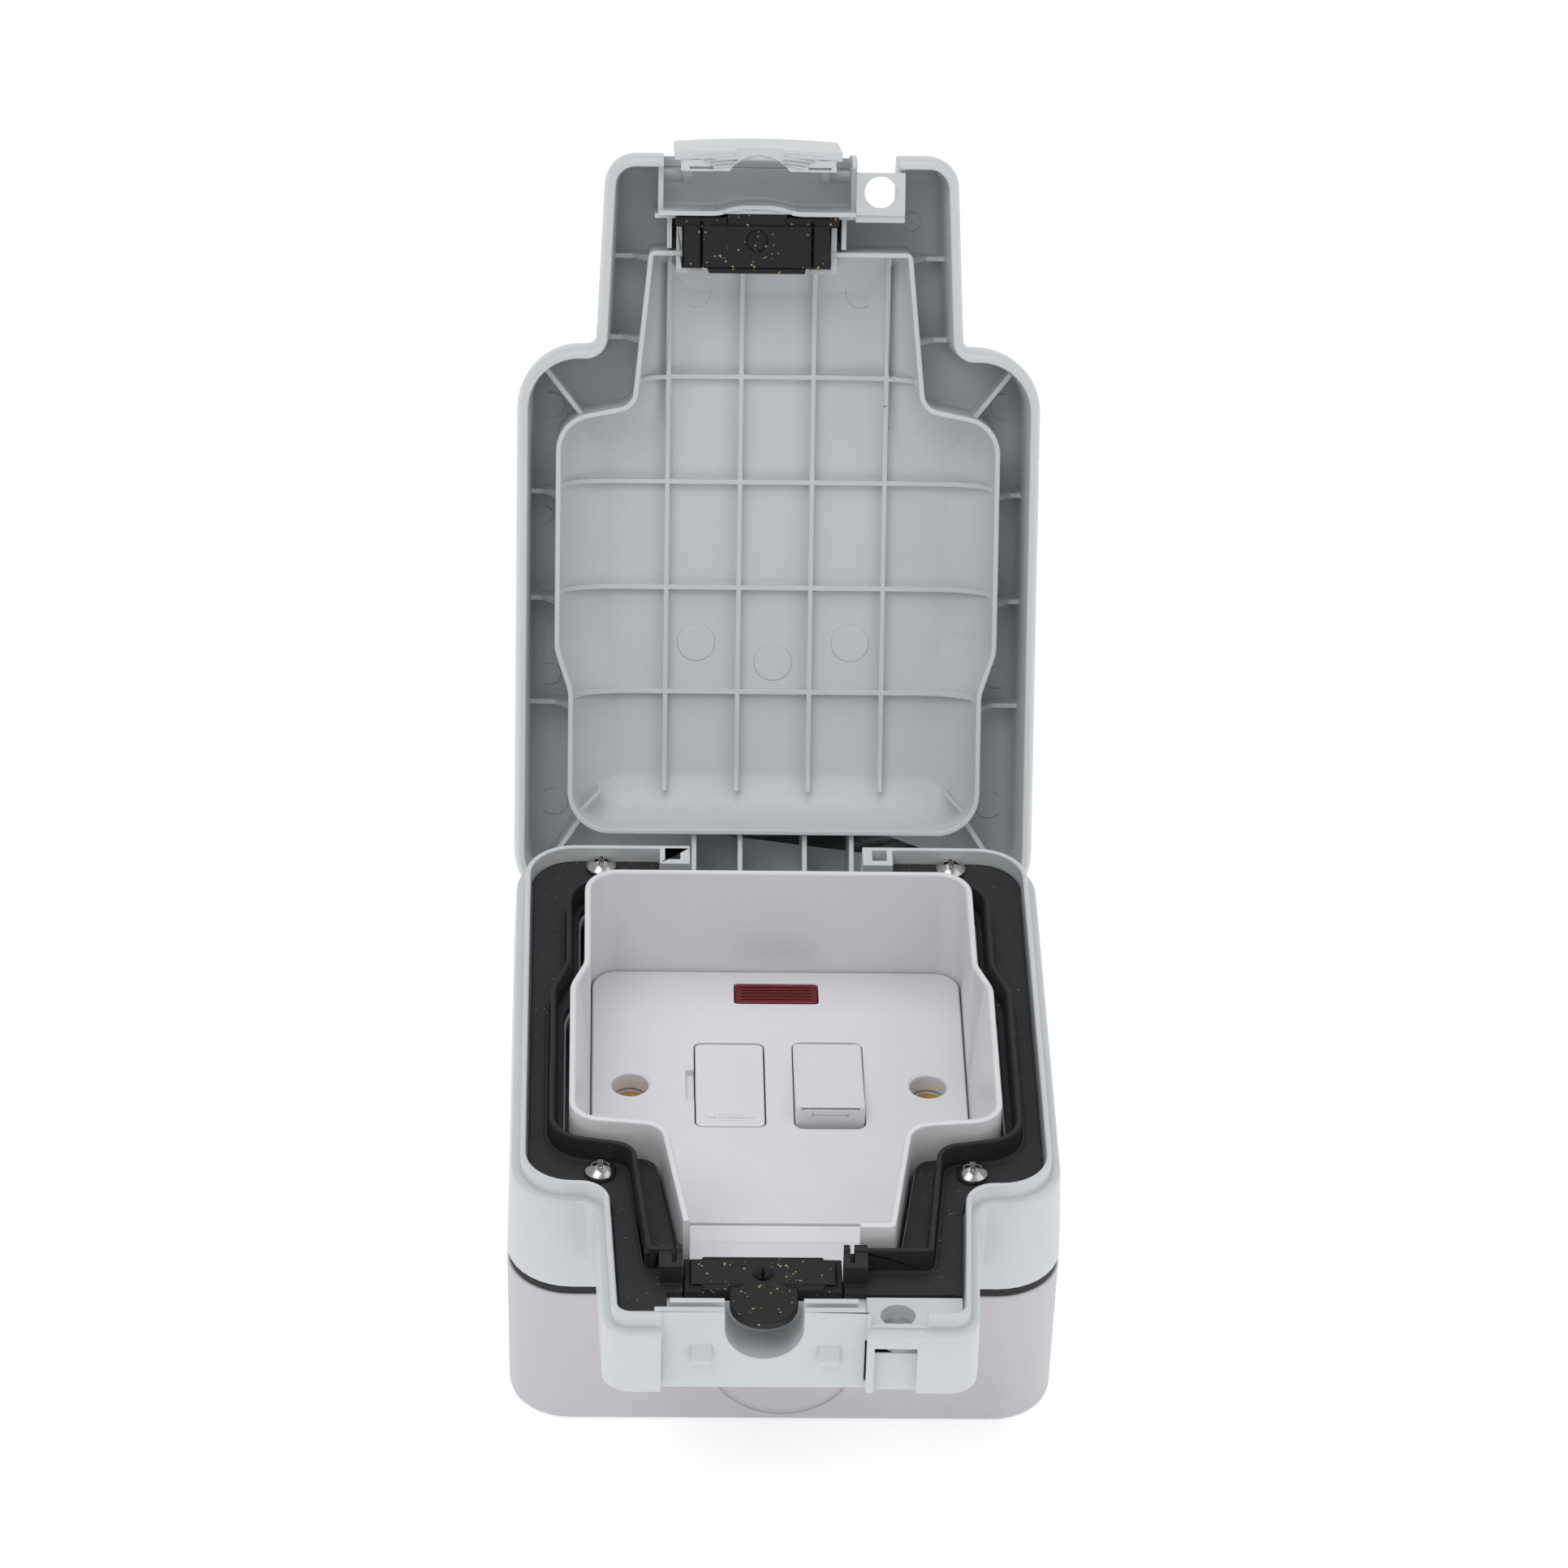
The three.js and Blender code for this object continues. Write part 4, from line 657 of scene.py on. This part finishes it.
# Faceplate, neon lens and inserts.
def makeFaceplate():
    size = {"top": 38.5, "bottom": 36.3, "holeR": 3.75, "keyHalf": [7.2, 14.1], "rockerHalf": [7.2, 14.45],
            "neonY": 32.0, "neonHalf": [8.6, 3.45]}
    top, bottom, holeR, neonY = size["top"], size["bottom"], size["holeR"], size["neonY"]
    sheet = worked(loft(wellOutline, [(0.3, bottom), (0.3, top - 0.5), (0.42, top - 0.15), (0.8, top)]),
                   ("keep", [block(-60, 60, -44, 60, 0, 60)]))
    bosses = [rod(side * insertX, moduleY, 34.6, 1.8, 5.2) for side in (-1, 1)]
    holes = [turned([(holeR - 0.15, -6), (holeR - 0.15, 1.3), (holeR + 0.05, 1.9),
                     (holeR + 0.6, 2.3), (holeR + 0.6, 4)], side * insertX, moduleY,
                    bottom, steps=56) for side in (-1, 1)]
    halfX, halfY = size["keyHalf"]
    fuseHole = pillow(-keyX - halfX, -keyX + halfX, moduleY - halfY, moduleY + halfY, 30, 45, 1.6)
    halfX, halfY = size["rockerHalf"]
    rockerHole = pillow(keyX - halfX, keyX + halfX, moduleY - halfY, moduleY + halfY, 30, 45, 1.9)
    fingerNotch = block(-keyX - 8.9, -keyX - 6.9, -4.3, 5.8, top - 1.4, 45)
    halfX, halfY = size["neonHalf"]
    neonHole = pillow(-halfX - 0.1, halfX + 0.1, neonY - halfY - 0.1, neonY + halfY + 0.1, 30, 45, 0.8)
    solid = worked(sheet, ("add", bosses), ("cut", holes + [fuseHole, rockerHole, fingerNotch, neonHole]))
    finishPiece("faceplate", solid, finish["white"], "enclosure", ["face_plate"], 0.15)

    lens = worked(
        loft(rounded(-halfX + 0.15, halfX - 0.15, neonY - halfY + 0.15, neonY + halfY - 0.15, 0.7),
             [(0, bottom - 0.2), (0, top - 0.2), (0.2, top)]),
        ("add", [block(-halfX - 0.9, halfX + 0.9, neonY - halfY - 0.6, neonY + halfY + 0.3,
                       bottom - 1.5, bottom - 0.15)]),
        ("cut", [block(-halfX + 1.4, halfX - 1.4, y, y + 0.35, top - 0.3, 45)
                 for y in np.arange(neonY - 2.2, neonY + 2.2, 1.05)]))
    finishPiece("neonLens", lens, finish["lens"], "enclosure", ["neon_lens"], 0.08)

    for side, node in ((-1, "insert_left"), (1, "insert_right")):
        # The bore's wall waves in and out by the thread depth, one pitch of 0.6 mm at a time.
        height = np.linspace(0, 12, 161)
        bore = 1.62 + 0.16 * np.abs(((height / 0.6) % 1.0) * 2 - 1)
        stations = [(1.9, 12.3), (2.9, 12.3), (3.0, 12.1), (3.0, 0.0), (1.7, 0.0)]
        stations += list(zip(bore, height))
        radius, along = np.array(stations).T
        angle = np.linspace(0, 2 * np.pi, 40, endpoint=False)
        grid = np.stack([side * insertX + radius[:, None] * np.cos(angle),
                         moduleY + radius[:, None] * np.sin(angle),
                         22 + np.repeat(along[:, None], 40, axis=1)], axis=-1)
        finishPiece("brassInsertLeft" if side < 0 else "brassInsertRight", gridSolid(grid, loop=True),
                    finish["brass"], "enclosure", [node], 0, tidy=False)


makeFaceplate()


# Fuse carrier and rocker.
def makeKeys():
    key = {"halfX": 6.95, "halfY": 13.7, "top": 38.5}
    halfX, halfY, top = key["halfX"], key["halfY"], key["top"]
    x, y = -keyX, moduleY
    face = loft(rounded(x - halfX, x + halfX, y - halfY, y + halfY, 1.4),
                [(0, 34.4), (0, top - 0.4), (0.12, top - 0.12), (0.4, top)])
    cheeks = [block(x + s * 5.3 - 0.9, x + s * 5.3 + 0.9, y - 5.5, y + 5.5, 25.3, 35) for s in (-1, 1)]
    saddle = worked(block(x - 5, x + 5, y - 5.5, y + 5.5, 29, 35),
                    ("cut", [rod(x, y - 7, 27.5, 14, 3.475, "y")]))
    grip = block(x - 8, x - halfX + 0.6, y - 1.6, y + 1.9, 35, 36.9)
    spotY = y - 10.9
    frameSign = lip(rounded(x - 3, x + 3, spotY - 1.1, spotY + 1.1, 0.15),
                    [[0, top - 0.2, 0.02], [0, top + 0.22, 0.08], [0.42, top + 0.22, 0.08],
                     [0.42, top - 0.2, 0.02]], steps=3)
    lineSign = block(x - 5, x + 5, spotY - 0.2, spotY + 0.2, top - 0.2, top + 0.2)
    solid = worked(face, ("add", cheeks + [saddle, lineSign, frameSign]), ("cut", [grip]))
    finishPiece("fuseCarrier", solid, finish["white"], "carrier_body", ["fuse_carrier"],
                0.06)

    rocker = {"half": 7.0, "end": 13.6, "pivot": (keyX, moduleY, 36.5), "tilt": -8.0}
    half, end = rocker["half"], rocker["end"]
    profile = [[-end, 3.95, 0.5], [-end + 0.9, -2.5, 0.3], [-6, -5.1, 0.5], [6, -5.1, 0.5],
               [end - 0.9, -2.5, 0.3],
               [end, 3.95, 0.5], [4.5, 3.5, 9], [-4.5, 3.5, 9]]
    bodySolid = worked(slabX(profile, -half, half, 6),
                       ("keep", [pillow(-half, half, -end, end, -8, 6, 1.5, 7)]))
    # The panel in the raised end is sunk 0.15 mm into a face that leans with the end.
    panel = block(-3.6, 3.6, -end - 1, -end + 0.25, -1.5, 2.6)
    sleeves = [rod(s * 3, 0, -7.9, 3.4, 2.7) for s in (-1, 1)]
    bores = [rod(s * 3, 0, -9, 10.1, 1.9) for s in (-1, 1)]
    solid = worked(bodySolid, ("add", sleeves), ("cut", [panel] + bores))
    turn = (Matrix.Translation(rocker["pivot"]) @ Matrix.Rotation(math.radians(rocker["tilt"]), 4, "X"))
    finishPiece("rocker", solid, finish["white"], "rocker_body", ["rocker"], 0.3, turn)


makeKeys()


# Frame screws.
def makeScrews():
    head = {"r": 3.1, "seat": 55.3, "rise": 2.4}
    seat = head["seat"]
    # Pan head: the edge turns over into a dome whose height falls with the square of the radius.
    dome = np.linspace(0.92, 0.02, 9)
    for number, (x, y) in enumerate(screwSpots, 1):
        stations = [(0.05, -41.3), (1.75, -41.3), (1.75, -0.05), (2.9, -0.05), (head["r"], 0.15),
                    (head["r"], 0.75)]
        stations += [(head["r"] * r, 0.8 + (head["rise"] - 0.8) * (1 - r * r)) for r in dome]
        body = turned(stations, x, y, seat, steps=56)
        cross = []
        for across in (0, 1):
            wide, narrow = 2.05, 0.55
            ring = [[-wide, -narrow], [wide, -narrow], [wide, narrow], [-wide, narrow]]
            low = np.array(ring) * [0.6, 0.75]
            ring = np.array(ring, float)
            if across:
                ring, low = ring[:, ::-1][::-1], low[:, ::-1][::-1]
            cross.append(gridSolid(np.stack([atHeight(low + [x, y], seat + 0.35),
                                             atHeight(ring + [x, y], seat + 2.6)])))
        solid = worked(body, ("cut", cross))
        finishPiece(f"frameScrew{number}", solid, finish["steel"], "enclosure", [f"frame_screw_{number}"],
                    0.06)


makeScrews()


# Rubber cable seals.
def makeCableSeals():
    lower = {"half": 15.1, "front": -86.4, "back": -76.4, "top": 56.2}
    front, back, top = lower["front"], lower["back"], lower["top"]
    x0, x1 = latchX - lower["half"], latchX + lower["half"]
    main = worked(block(x0, x1, front, back, 45.3, top - 0.9),
                  ("add", [block(x0 + 1.2, x1 - 1.2, front + 1.4, back - 1.2, 50, top),
                           block(x0 + 3.5, x1 - 3.5, front, back, 50, top - 0.3)]))
    tongue = worked(rod(latchX, -90.3, 54.5, 1.7, 6.5, steps=64),
                    ("add", [block(latchX - 6.5, latchX + 6.5, -90.3, front + 0.5, 54.5, 56.2)]))
    dent = [turned([(0.3, 0), (2.4, 1.6), (2.4, 3)], latchX, -82, 54.7, steps=32)]
    slits = [block(latchX - 2.0, latchX + 2.0, -82.15, -81.85, 53.9, 57),
             block(latchX - 0.15, latchX + 0.15, -84, -80, 53.9, 57)]
    solid = worked(main, ("add", [tongue]), ("cut", dent + slits))
    finishPiece("cableSealLower", solid, finish["cableSeal"], "enclosure", ["cable_seal_lower"],
                0.3)

    upper = worked(block(x0, x1, -85.2, -76.3, 56.6, 70),
                   ("add", [block(x0 - 1.9, x1 + 1.9, -86.9, -85, 57.2, 66),
                            block(x0 + 5, x1 - 5, -77, -75.2, 56.8, 68),
                            pillow(latchX - 6.2, latchX + 6.2, -88.0, -84, 56.9, 62, 0.6)]),
                   ("cut", [turned([(2.2, -2), (2.2, 0.5), (0.2, 1.6)], latchX, -82, 56.6, steps=32)] +
                    [block(latchX + s * 11.5 - 0.25, latchX + s * 11.5 + 0.25, -85.9, -75.2, 56, 58.2)
                     for s in (-1, 1)]))
    finishPiece("cableSealUpper", upper, finish["cableSeal"], "lid_body", ["cable_seal_upper"],
                0.3,
                lidTurn)


makeCableSeals()


# Lid.
def makeLid():
    size = {"edge": 55.11, "floor": 76.2, "top": 78.5, "wall": 1.05, "wallEdge": 60.3, "rib": 1.0,
            "ribX": [-22.9, -7.6, 7.6, 22.9], "ribY": [-51.8, -29.5, -7.0, 15.3],
            "cellY": [[-60.5, 29.2, 36.8], [-77.5, 27.2, 35.9], [-27.8, 45.8, 53], [-5.2, 45.8, 53],
                      [17.0, 42.8, 53]],
            "pocketBack": -88.2, "pocketTop": 74.3}
    wallEdge = size["wallEdge"]
    floor = size["floor"]
    shell = loft(fullOutline, [
        (5.6, floor), (4.3, floor - 0.2), (3.3, floor - 0.9), (2.7, floor - 2.2), (2.3, 71.5), (1.5, 60),
        (1.35, 55.4), (1.15, size["edge"]), (0.25, size["edge"]), (0.0, 55.3), (-0.35, 55.9), (-0.75, 57.2),
        (-0.95, 60),
        (-0.7, 66), (-0.3, 70.5), (0.15, 73), (0.8, 75), (1.9, 76.7), (3.4, 77.8), (5.0, 78.35),
        (6.8, size["top"]),
    ], steps=10)

    # The inner wall runs into the floor through a wide cove, a quarter circle of 10 mm.
    bend = np.linspace(0, np.pi / 2, 9)
    cove = [(1.35 + 10.2 * (1 - math.cos(b)), 66.2 + 10.1 * math.sin(b)) for b in bend]
    section = [(0.0, wallEdge + 0.15), (0.0, floor + 0.8), (11.55, floor + 0.8)]
    section += cove[::-1] + [(size["wall"], wallEdge + 0.15), (size["wall"] - 0.15, wallEdge),
                             (0.15, wallEdge)]
    sealWall = loft(wallOutline, section, loop=True, steps=10)

    # Ribs stand a constant height off the floor and its cove, so they climb the walls with it.
    tip = [(13.2, 74.0)] + [(1.6 + 11.4 * (1 - math.cos(b)), 65.4 + 8.6 * math.sin(b)) for b in bend[::-1]]
    ribZone = loft(wallOutline, tip + [(0.5, 65.2), (0.5, floor + 0.4)], steps=10)
    half = size["rib"] / 2
    ribs = [worked(block(x - half, x + half, -90, 36.5, 60, floor + 0.4), ("keep", [ribZone]))
            for x in size["ribX"]]
    ribs += [worked(block(-50, 50, y - half, y + half, 60, floor + 0.4), ("keep", [ribZone]))
             for y in size["ribY"]]
    gussets = [pathWall([[s * 41.6, 41.0], [s * 36.5, 35.5]], 0.8, 66.5, floor) for s in (-1, 1)]

    # Cell ribs drop from the inner wall, then run level to the outer skin.
    cellRibs = []
    for y, x0, x1 in size["cellY"]:
        for s in (-1, 1):
            mid = x0 + 3.4
            ring = [[s * x0, 62.6, 0.1], [s * mid, 69.4, 0.8], [s * x1, 69.4, 0.1],
                    [s * x1, floor + 0.4, 0.1],
                    [s * x0, floor + 0.4, 0.1]]
            cellRibs.append(slabY(ring, y - half, y + half))
    for sx in (-1, 1):
        for start, stop in (([sx * 40.6, -44.0], [sx * 50.4, -56.4]), ([sx * 40.0, 40.2], [sx * 49.8, 54.6])):
            cellRibs.append(worked(pathWall([start, stop], size["rib"], 64.5, floor + 0.4),
                                   ("keep", [prism(fullOutline, 60, floor + 0.5, 1.9)])))

    # Ejector marks: discs that stand 0.08 mm off the moulding.
    spots = [(-17.2, -69.1, 3.0), (17.2, -69.3, 3.0), (-27.0, -44.9, 3.8), (28.4, -44.1, 3.8),
             (-16.4, 5.0, 4.0),
             (16.2, 4.9, 4.0), (-0.1, 9.1, 4.0), (27.7, -84.7, 2.0), (-47.4, -45.2, 2.7), (47.8, -45.8, 2.7),
             (-48.4, -21.9, 1.6), (-47.3, 12.1, 2.3), (47.3, 12.1, 2.3), (-46.2, 39.5, 2.9),
             (46.2, 39.5, 2.9)]
    marks = [rod(x, y, floor - 0.1, 0.4, r, steps=36) for x, y, r in spots]

    arms = []
    for side in (-1, 1):
        x0, x1 = sorted([side * 15.6, side * 17.6])
        arms.append(slabX([[52.9, 43.8, 2.4], [52.9, 66, 0.1], [58.5, 66, 0.1], [58.5, 43.8, 2.4],
                           [57.6, 41.3, 1.6],
                           [55.7, 40.9, 1.2], [53.8, 41.3, 1.6]][::-1], x0, x1))
        arms.append(rod(min(side * 17.3, side * 22.2), *hinge[1:], 4.9, 1.8, "x"))
    skirt = worked(block(-16.1, 16.1, 57.3, 58.6, 49, 60), ("cut", [block(-5.1, 5.1, 56, 60, 50.4, 52)]))
    midRibs = [worked(slabX([[43.6, 62.8, 0.1], [52.5, 58.4, 2], [54.5, 55.6, 0.3], [58, 55.4, 0.1],
                             [58, floor, 0.1],
                             [43.6, floor, 0.1]][::-1], x - 0.5, x + 0.5),
                             ("keep", [prism(bodyOutline, 50, floor, 0.2)]))
               for x in (-16.6, -6.9, 6.7, 16.6)]

    back, latchTop = size["pocketBack"], size["pocketTop"]
    sweepX = np.linspace(pocketLeft - 1.1, pocketRight + 1.1, 41)
    archY = back + 0.5 - 1.2 * np.exp(-((sweepX - latchX) / 6.5) ** 4)
    archWall = pathWall(np.column_stack([sweepX, archY]), 1.0, 55.8, latchTop + 1)
    pocketWalls = [
        block(pocketLeft - 1.1, pocketLeft, noseFront + 1, back, 58.7, floor + 0.4),
        block(pocketRight, pocketRight + 1.1, noseFront + 1, back, 58.7, floor + 0.4),
        block(pocketLeft - 1, pocketRight + 1, noseFront + 3, back + 0.5, latchTop, floor + 0.4),
    ]
    stepWalls = twin(latchX, 16.1, 21.2, -87.4, -86.4, 58.5, floor)
    stepWalls += twin(latchX, 17.6, 18.6, -87.4, -80.0, 60.4, floor)
    holders = twin(latchX, 15.45, 16.65, -84.6, -75.6, 60.5, floor + 0.4)
    holderFeet = twin(latchX, 11.2, 16.6, -75.9, -74.9, 61.2, floor)
    lug = [block(pocketRight + 0.9, padlockX + 5.1, -96.5, back + 0.6, 55.7, 57.3),
           block(pocketRight + 0.9, padlockX + 5.1, back, back + 2.1, 56.4, 57.3),
           block(padlockX + 4, padlockX + 5.1, -95.5, back + 0.6, 55.7, 66),
           block(padlockX + 3.9, padlockX + 5.1, noseFront + 0.6, back + 2.1, 60, floor + 0.4),
           block(pocketRight + 0.9, padlockX + 5.1, back + 0.9, back + 2.1, 57, floor + 0.4)]
    opening = block(latchX - 15.5, latchX + 15.5, -80.5, -76.5, 59, floor)
    cuts = [
        block(pocketLeft, pocketRight, -101.6, back - 1.4, 53, latchTop),
        block(pocketLeft, latchX - 8.5, -95, back, 53, latchTop),
        block(latchX + 8.5, pocketRight, -95, back, 53, latchTop),
        block(pocketRight + 1.1, padlockX + 3.9, -101.6, back + 0.9, 57.4, 80),
        block(pocketRight + 1.1, padlockX + 3.9, -101.6, -96.4, 53, 80),
        rod(padlockX, shape["padlockY"], 50, 10, shape["padlockR"]),
        block(latchX - 7.1, latchX + 7.1, -98.6, -86.4, 50, 56.6),
        rod(pocketLeft - 3, -94.5, 68, 2 * shape["pocketHalf"] + 6, 1.7, "x"),
    ]
    sealWall = worked(sealWall, ("cut", [opening]))
    inside = ([sealWall] + ribs + gussets + cellRibs + marks + arms + [skirt] + midRibs + pocketWalls
              + [archWall] + stepWalls + holders + holderFeet + lug)
    solid = worked(shell, ("add", inside), ("cut", cuts))
    finishPiece("lid", solid, finish["lid"], "lid_body", ["lid"], 0.12, lidTurn, tidy=False)


makeLid()


# Latch.
def makeLatch():
    size = {"left": -22.4, "right": 11.9, "bottom": 44.0, "top": 70.5, "lip": -102.2}
    bottom = size["bottom"]
    left, right = size["left"], size["right"]
    # The face bows outwards by half a millimetre between its ends.
    spread = np.linspace(-1, 1, 25)
    outer = np.column_stack([(left + right) / 2 + spread * (right - left) / 2,
                             -101.5 - 0.7 * (1 - spread ** 2)])
    inner = np.array([[right, -99.6], [left, -99.6]])
    ring = np.concatenate([outer, inner])
    heights = [(0.25, bottom), (0.0, bottom + 0.3), (0.0, size["top"] - 0.5), (0.25, size["top"])]
    middle = np.array([(left + right) / 2, -100.6])
    plate = gridSolid(np.stack([
        atHeight(middle + (ring - middle) * [1 - e / 17, 1 - e / 1.3], z) for e, z in heights]))
    flange = block(left + 1.2, right - 1.2, -99.8, -97.4, bottom + 0.3, bottom + 1.3)
    feet = [slabX([[-99.8, 44.2, 0.1], [-99.8, 46.1, 0.1], [-97.3, 46.1, 0.3], [-97.3, 44.9, 0.4],
                   [-98.2, 44.3, 0.3]],
                  x0, x1) for x0, x1 in ((-20.9, -15.0), (4.9, 10.6))]
    webs = [slabX([[-99.8, 60, 0.1], [-99.8, 70, 0.1], [-95, 70, 1], [-92.9, 69, 1], [-92.9, 66.2, 1],
                   [-97.4, 60, 0.5]],
                  x0, x1) for x0, x1 in ((-20.4, -18.6), (8.2, 10.0))]
    pins = [rod(pocketLeft - 0.6, -94.5, 68, -18.8 - pocketLeft + 0.6, 1.3, "x"),
            rod(8.4, -94.5, 68, pocketRight + 0.6 - 8.4, 1.3, "x")]
    bar = block(-19, 9, -99.8, -98.4, 58, 59.6)
    ridges = []
    for k in range(5):
        reach = 13.2 - 0.95 * k
        t = np.linspace(-1, 1, 31)
        x = latchX + reach * t
        y = -101.35 + 0.62 * k + 0.75 * t ** 2
        ridges.append(cordSolid(np.column_stack([x, y, np.full(31, bottom + 0.05)]), 0.16))
    arch = [rod(latchX, -92.9, bottom - 1, 3.5, 7.7, steps=72),
            rod(latchX, -103, 39, 4.5, 7.0, "y", 72)]
    slots = [block(x0, x1, -98.3, -97.8, bottom - 1, bottom + 1.2) for x0, x1 in ((-19.4, -14.6), (4.9, 9.6))]
    solid = worked(plate, ("add", [flange, bar] + feet + webs + pins + ridges), ("cut", arch + slots))
    finishPiece("latch", solid, finish["lid"], "latch_body", ["latch_clip"], 0.08, lidTurn,
                tidy=False)


makeLatch()


# Finishes for the pieces that keep their own shape.
def dressNodes():
    rules = [("housing_screw", "steel"), ("fuse_cap", "steel"), ("plunger_spring", "steel"),
             ("fuse_body", "ceramic"),
             ("neon_resistor", "ceramic"), ("neon_lamp", "glass"), ("module_housing", "white"),
             ("plunger", "white"),
             ("terminal", "brass"), ("fuse_clip", "brass"), ("contact", "brass"), ("fixed_contact", "brass"),
             ("pivot_post", "brass")]
    for name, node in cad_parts.items():
        for start, key in rules:
            if name.startswith(start):
                node.data.materials.clear()
                node.data.materials.append(finish[key])
                break


dressNodes()


# Floor, light and camera.
def makeStage():
    # Powers in watts, widths in metres; the glow lifts the floor to near white under the soft shadow.
    mesh = meshOf("floor", (np.array([[-3, -3, 0], [3, -3, 0], [3, 6, 0], [-3, 6, 0]], float),
                            [[0, 1, 2, 3]]))
    floor = bpy.data.objects.new("floor", mesh)
    bpy.context.scene.collection.objects.link(floor)
    material, tree, shader, place = newMaterial("paleStudioFloor",
                                                {"Roughness": 0.85, "Specular IOR Level": 0.1,
                                                            "Emission Color": (1.0, 1.0, 1.0, 1.0),
                                                            "Emission Strength": 0.42})
    haze = addNode(tree, "ShaderNodeTexNoise", {"Scale": 1.5}, {"Vector": place})
    ramp = addNode(tree, "ShaderNodeValToRGB", links={"Fac": haze.outputs["Fac"]})
    ramp.color_ramp.elements[0].color = linear("F6F6F6")
    ramp.color_ramp.elements[1].color = linear("FAFAFA")
    tree.links.new(ramp.outputs["Color"], shader.inputs["Base Color"])
    mesh.materials.append(material)

    world = bpy.data.worlds.new("studio")
    bpy.context.scene.world = world
    world.use_nodes = True
    world.node_tree.nodes["Background"].inputs["Color"].default_value = (1.0, 1.0, 1.0, 1.0)
    world.node_tree.nodes["Background"].inputs["Strength"].default_value = 0.5
    lamps = [("key", (-0.5, -0.6, 1.3), 0.9, 5.2), ("fill", (0.9, -0.4, 0.9), 0.9, 2.2),
             ("top", (0.0, 0.4, 1.3), 0.8, 3.8)]
    for name, spot, width, power in lamps:
        light = bpy.data.lights.new(name, "AREA")
        light.energy = power
        light.size = width
        lamp = bpy.data.objects.new(name, light)
        lamp.location = spot
        aim = Matrix.Translation((0.0, 0.0, 0.06)).translation - lamp.location
        lamp.rotation_euler = aim.to_track_quat("-Z", "Y").to_euler()
        bpy.context.scene.collection.objects.link(lamp)

    view = {"lens": 152.68, "place": (-41.224, -1071.751, 851.590),
            "right": (0.99948238, -0.02061729, 0.02469607), "up": (-0.00863227, 0.56762886, 0.82323931),
            "back": (-0.03099116, -0.82302637, 0.56715707)}
    camera = bpy.data.cameras.new("camera")
    camera.lens = view["lens"]
    camera.sensor_width = 36
    eye = bpy.data.objects.new("camera", camera)
    turn = Matrix([view["right"], view["up"], view["back"]]).transposed().to_4x4()
    eye.matrix_world = Matrix.Translation([v * mm for v in view["place"]]) @ turn
    bpy.context.scene.collection.objects.link(eye)
    bpy.context.scene.camera = eye
    bpy.context.scene.view_settings.view_transform = "Standard"


makeStage()
print("stage made")
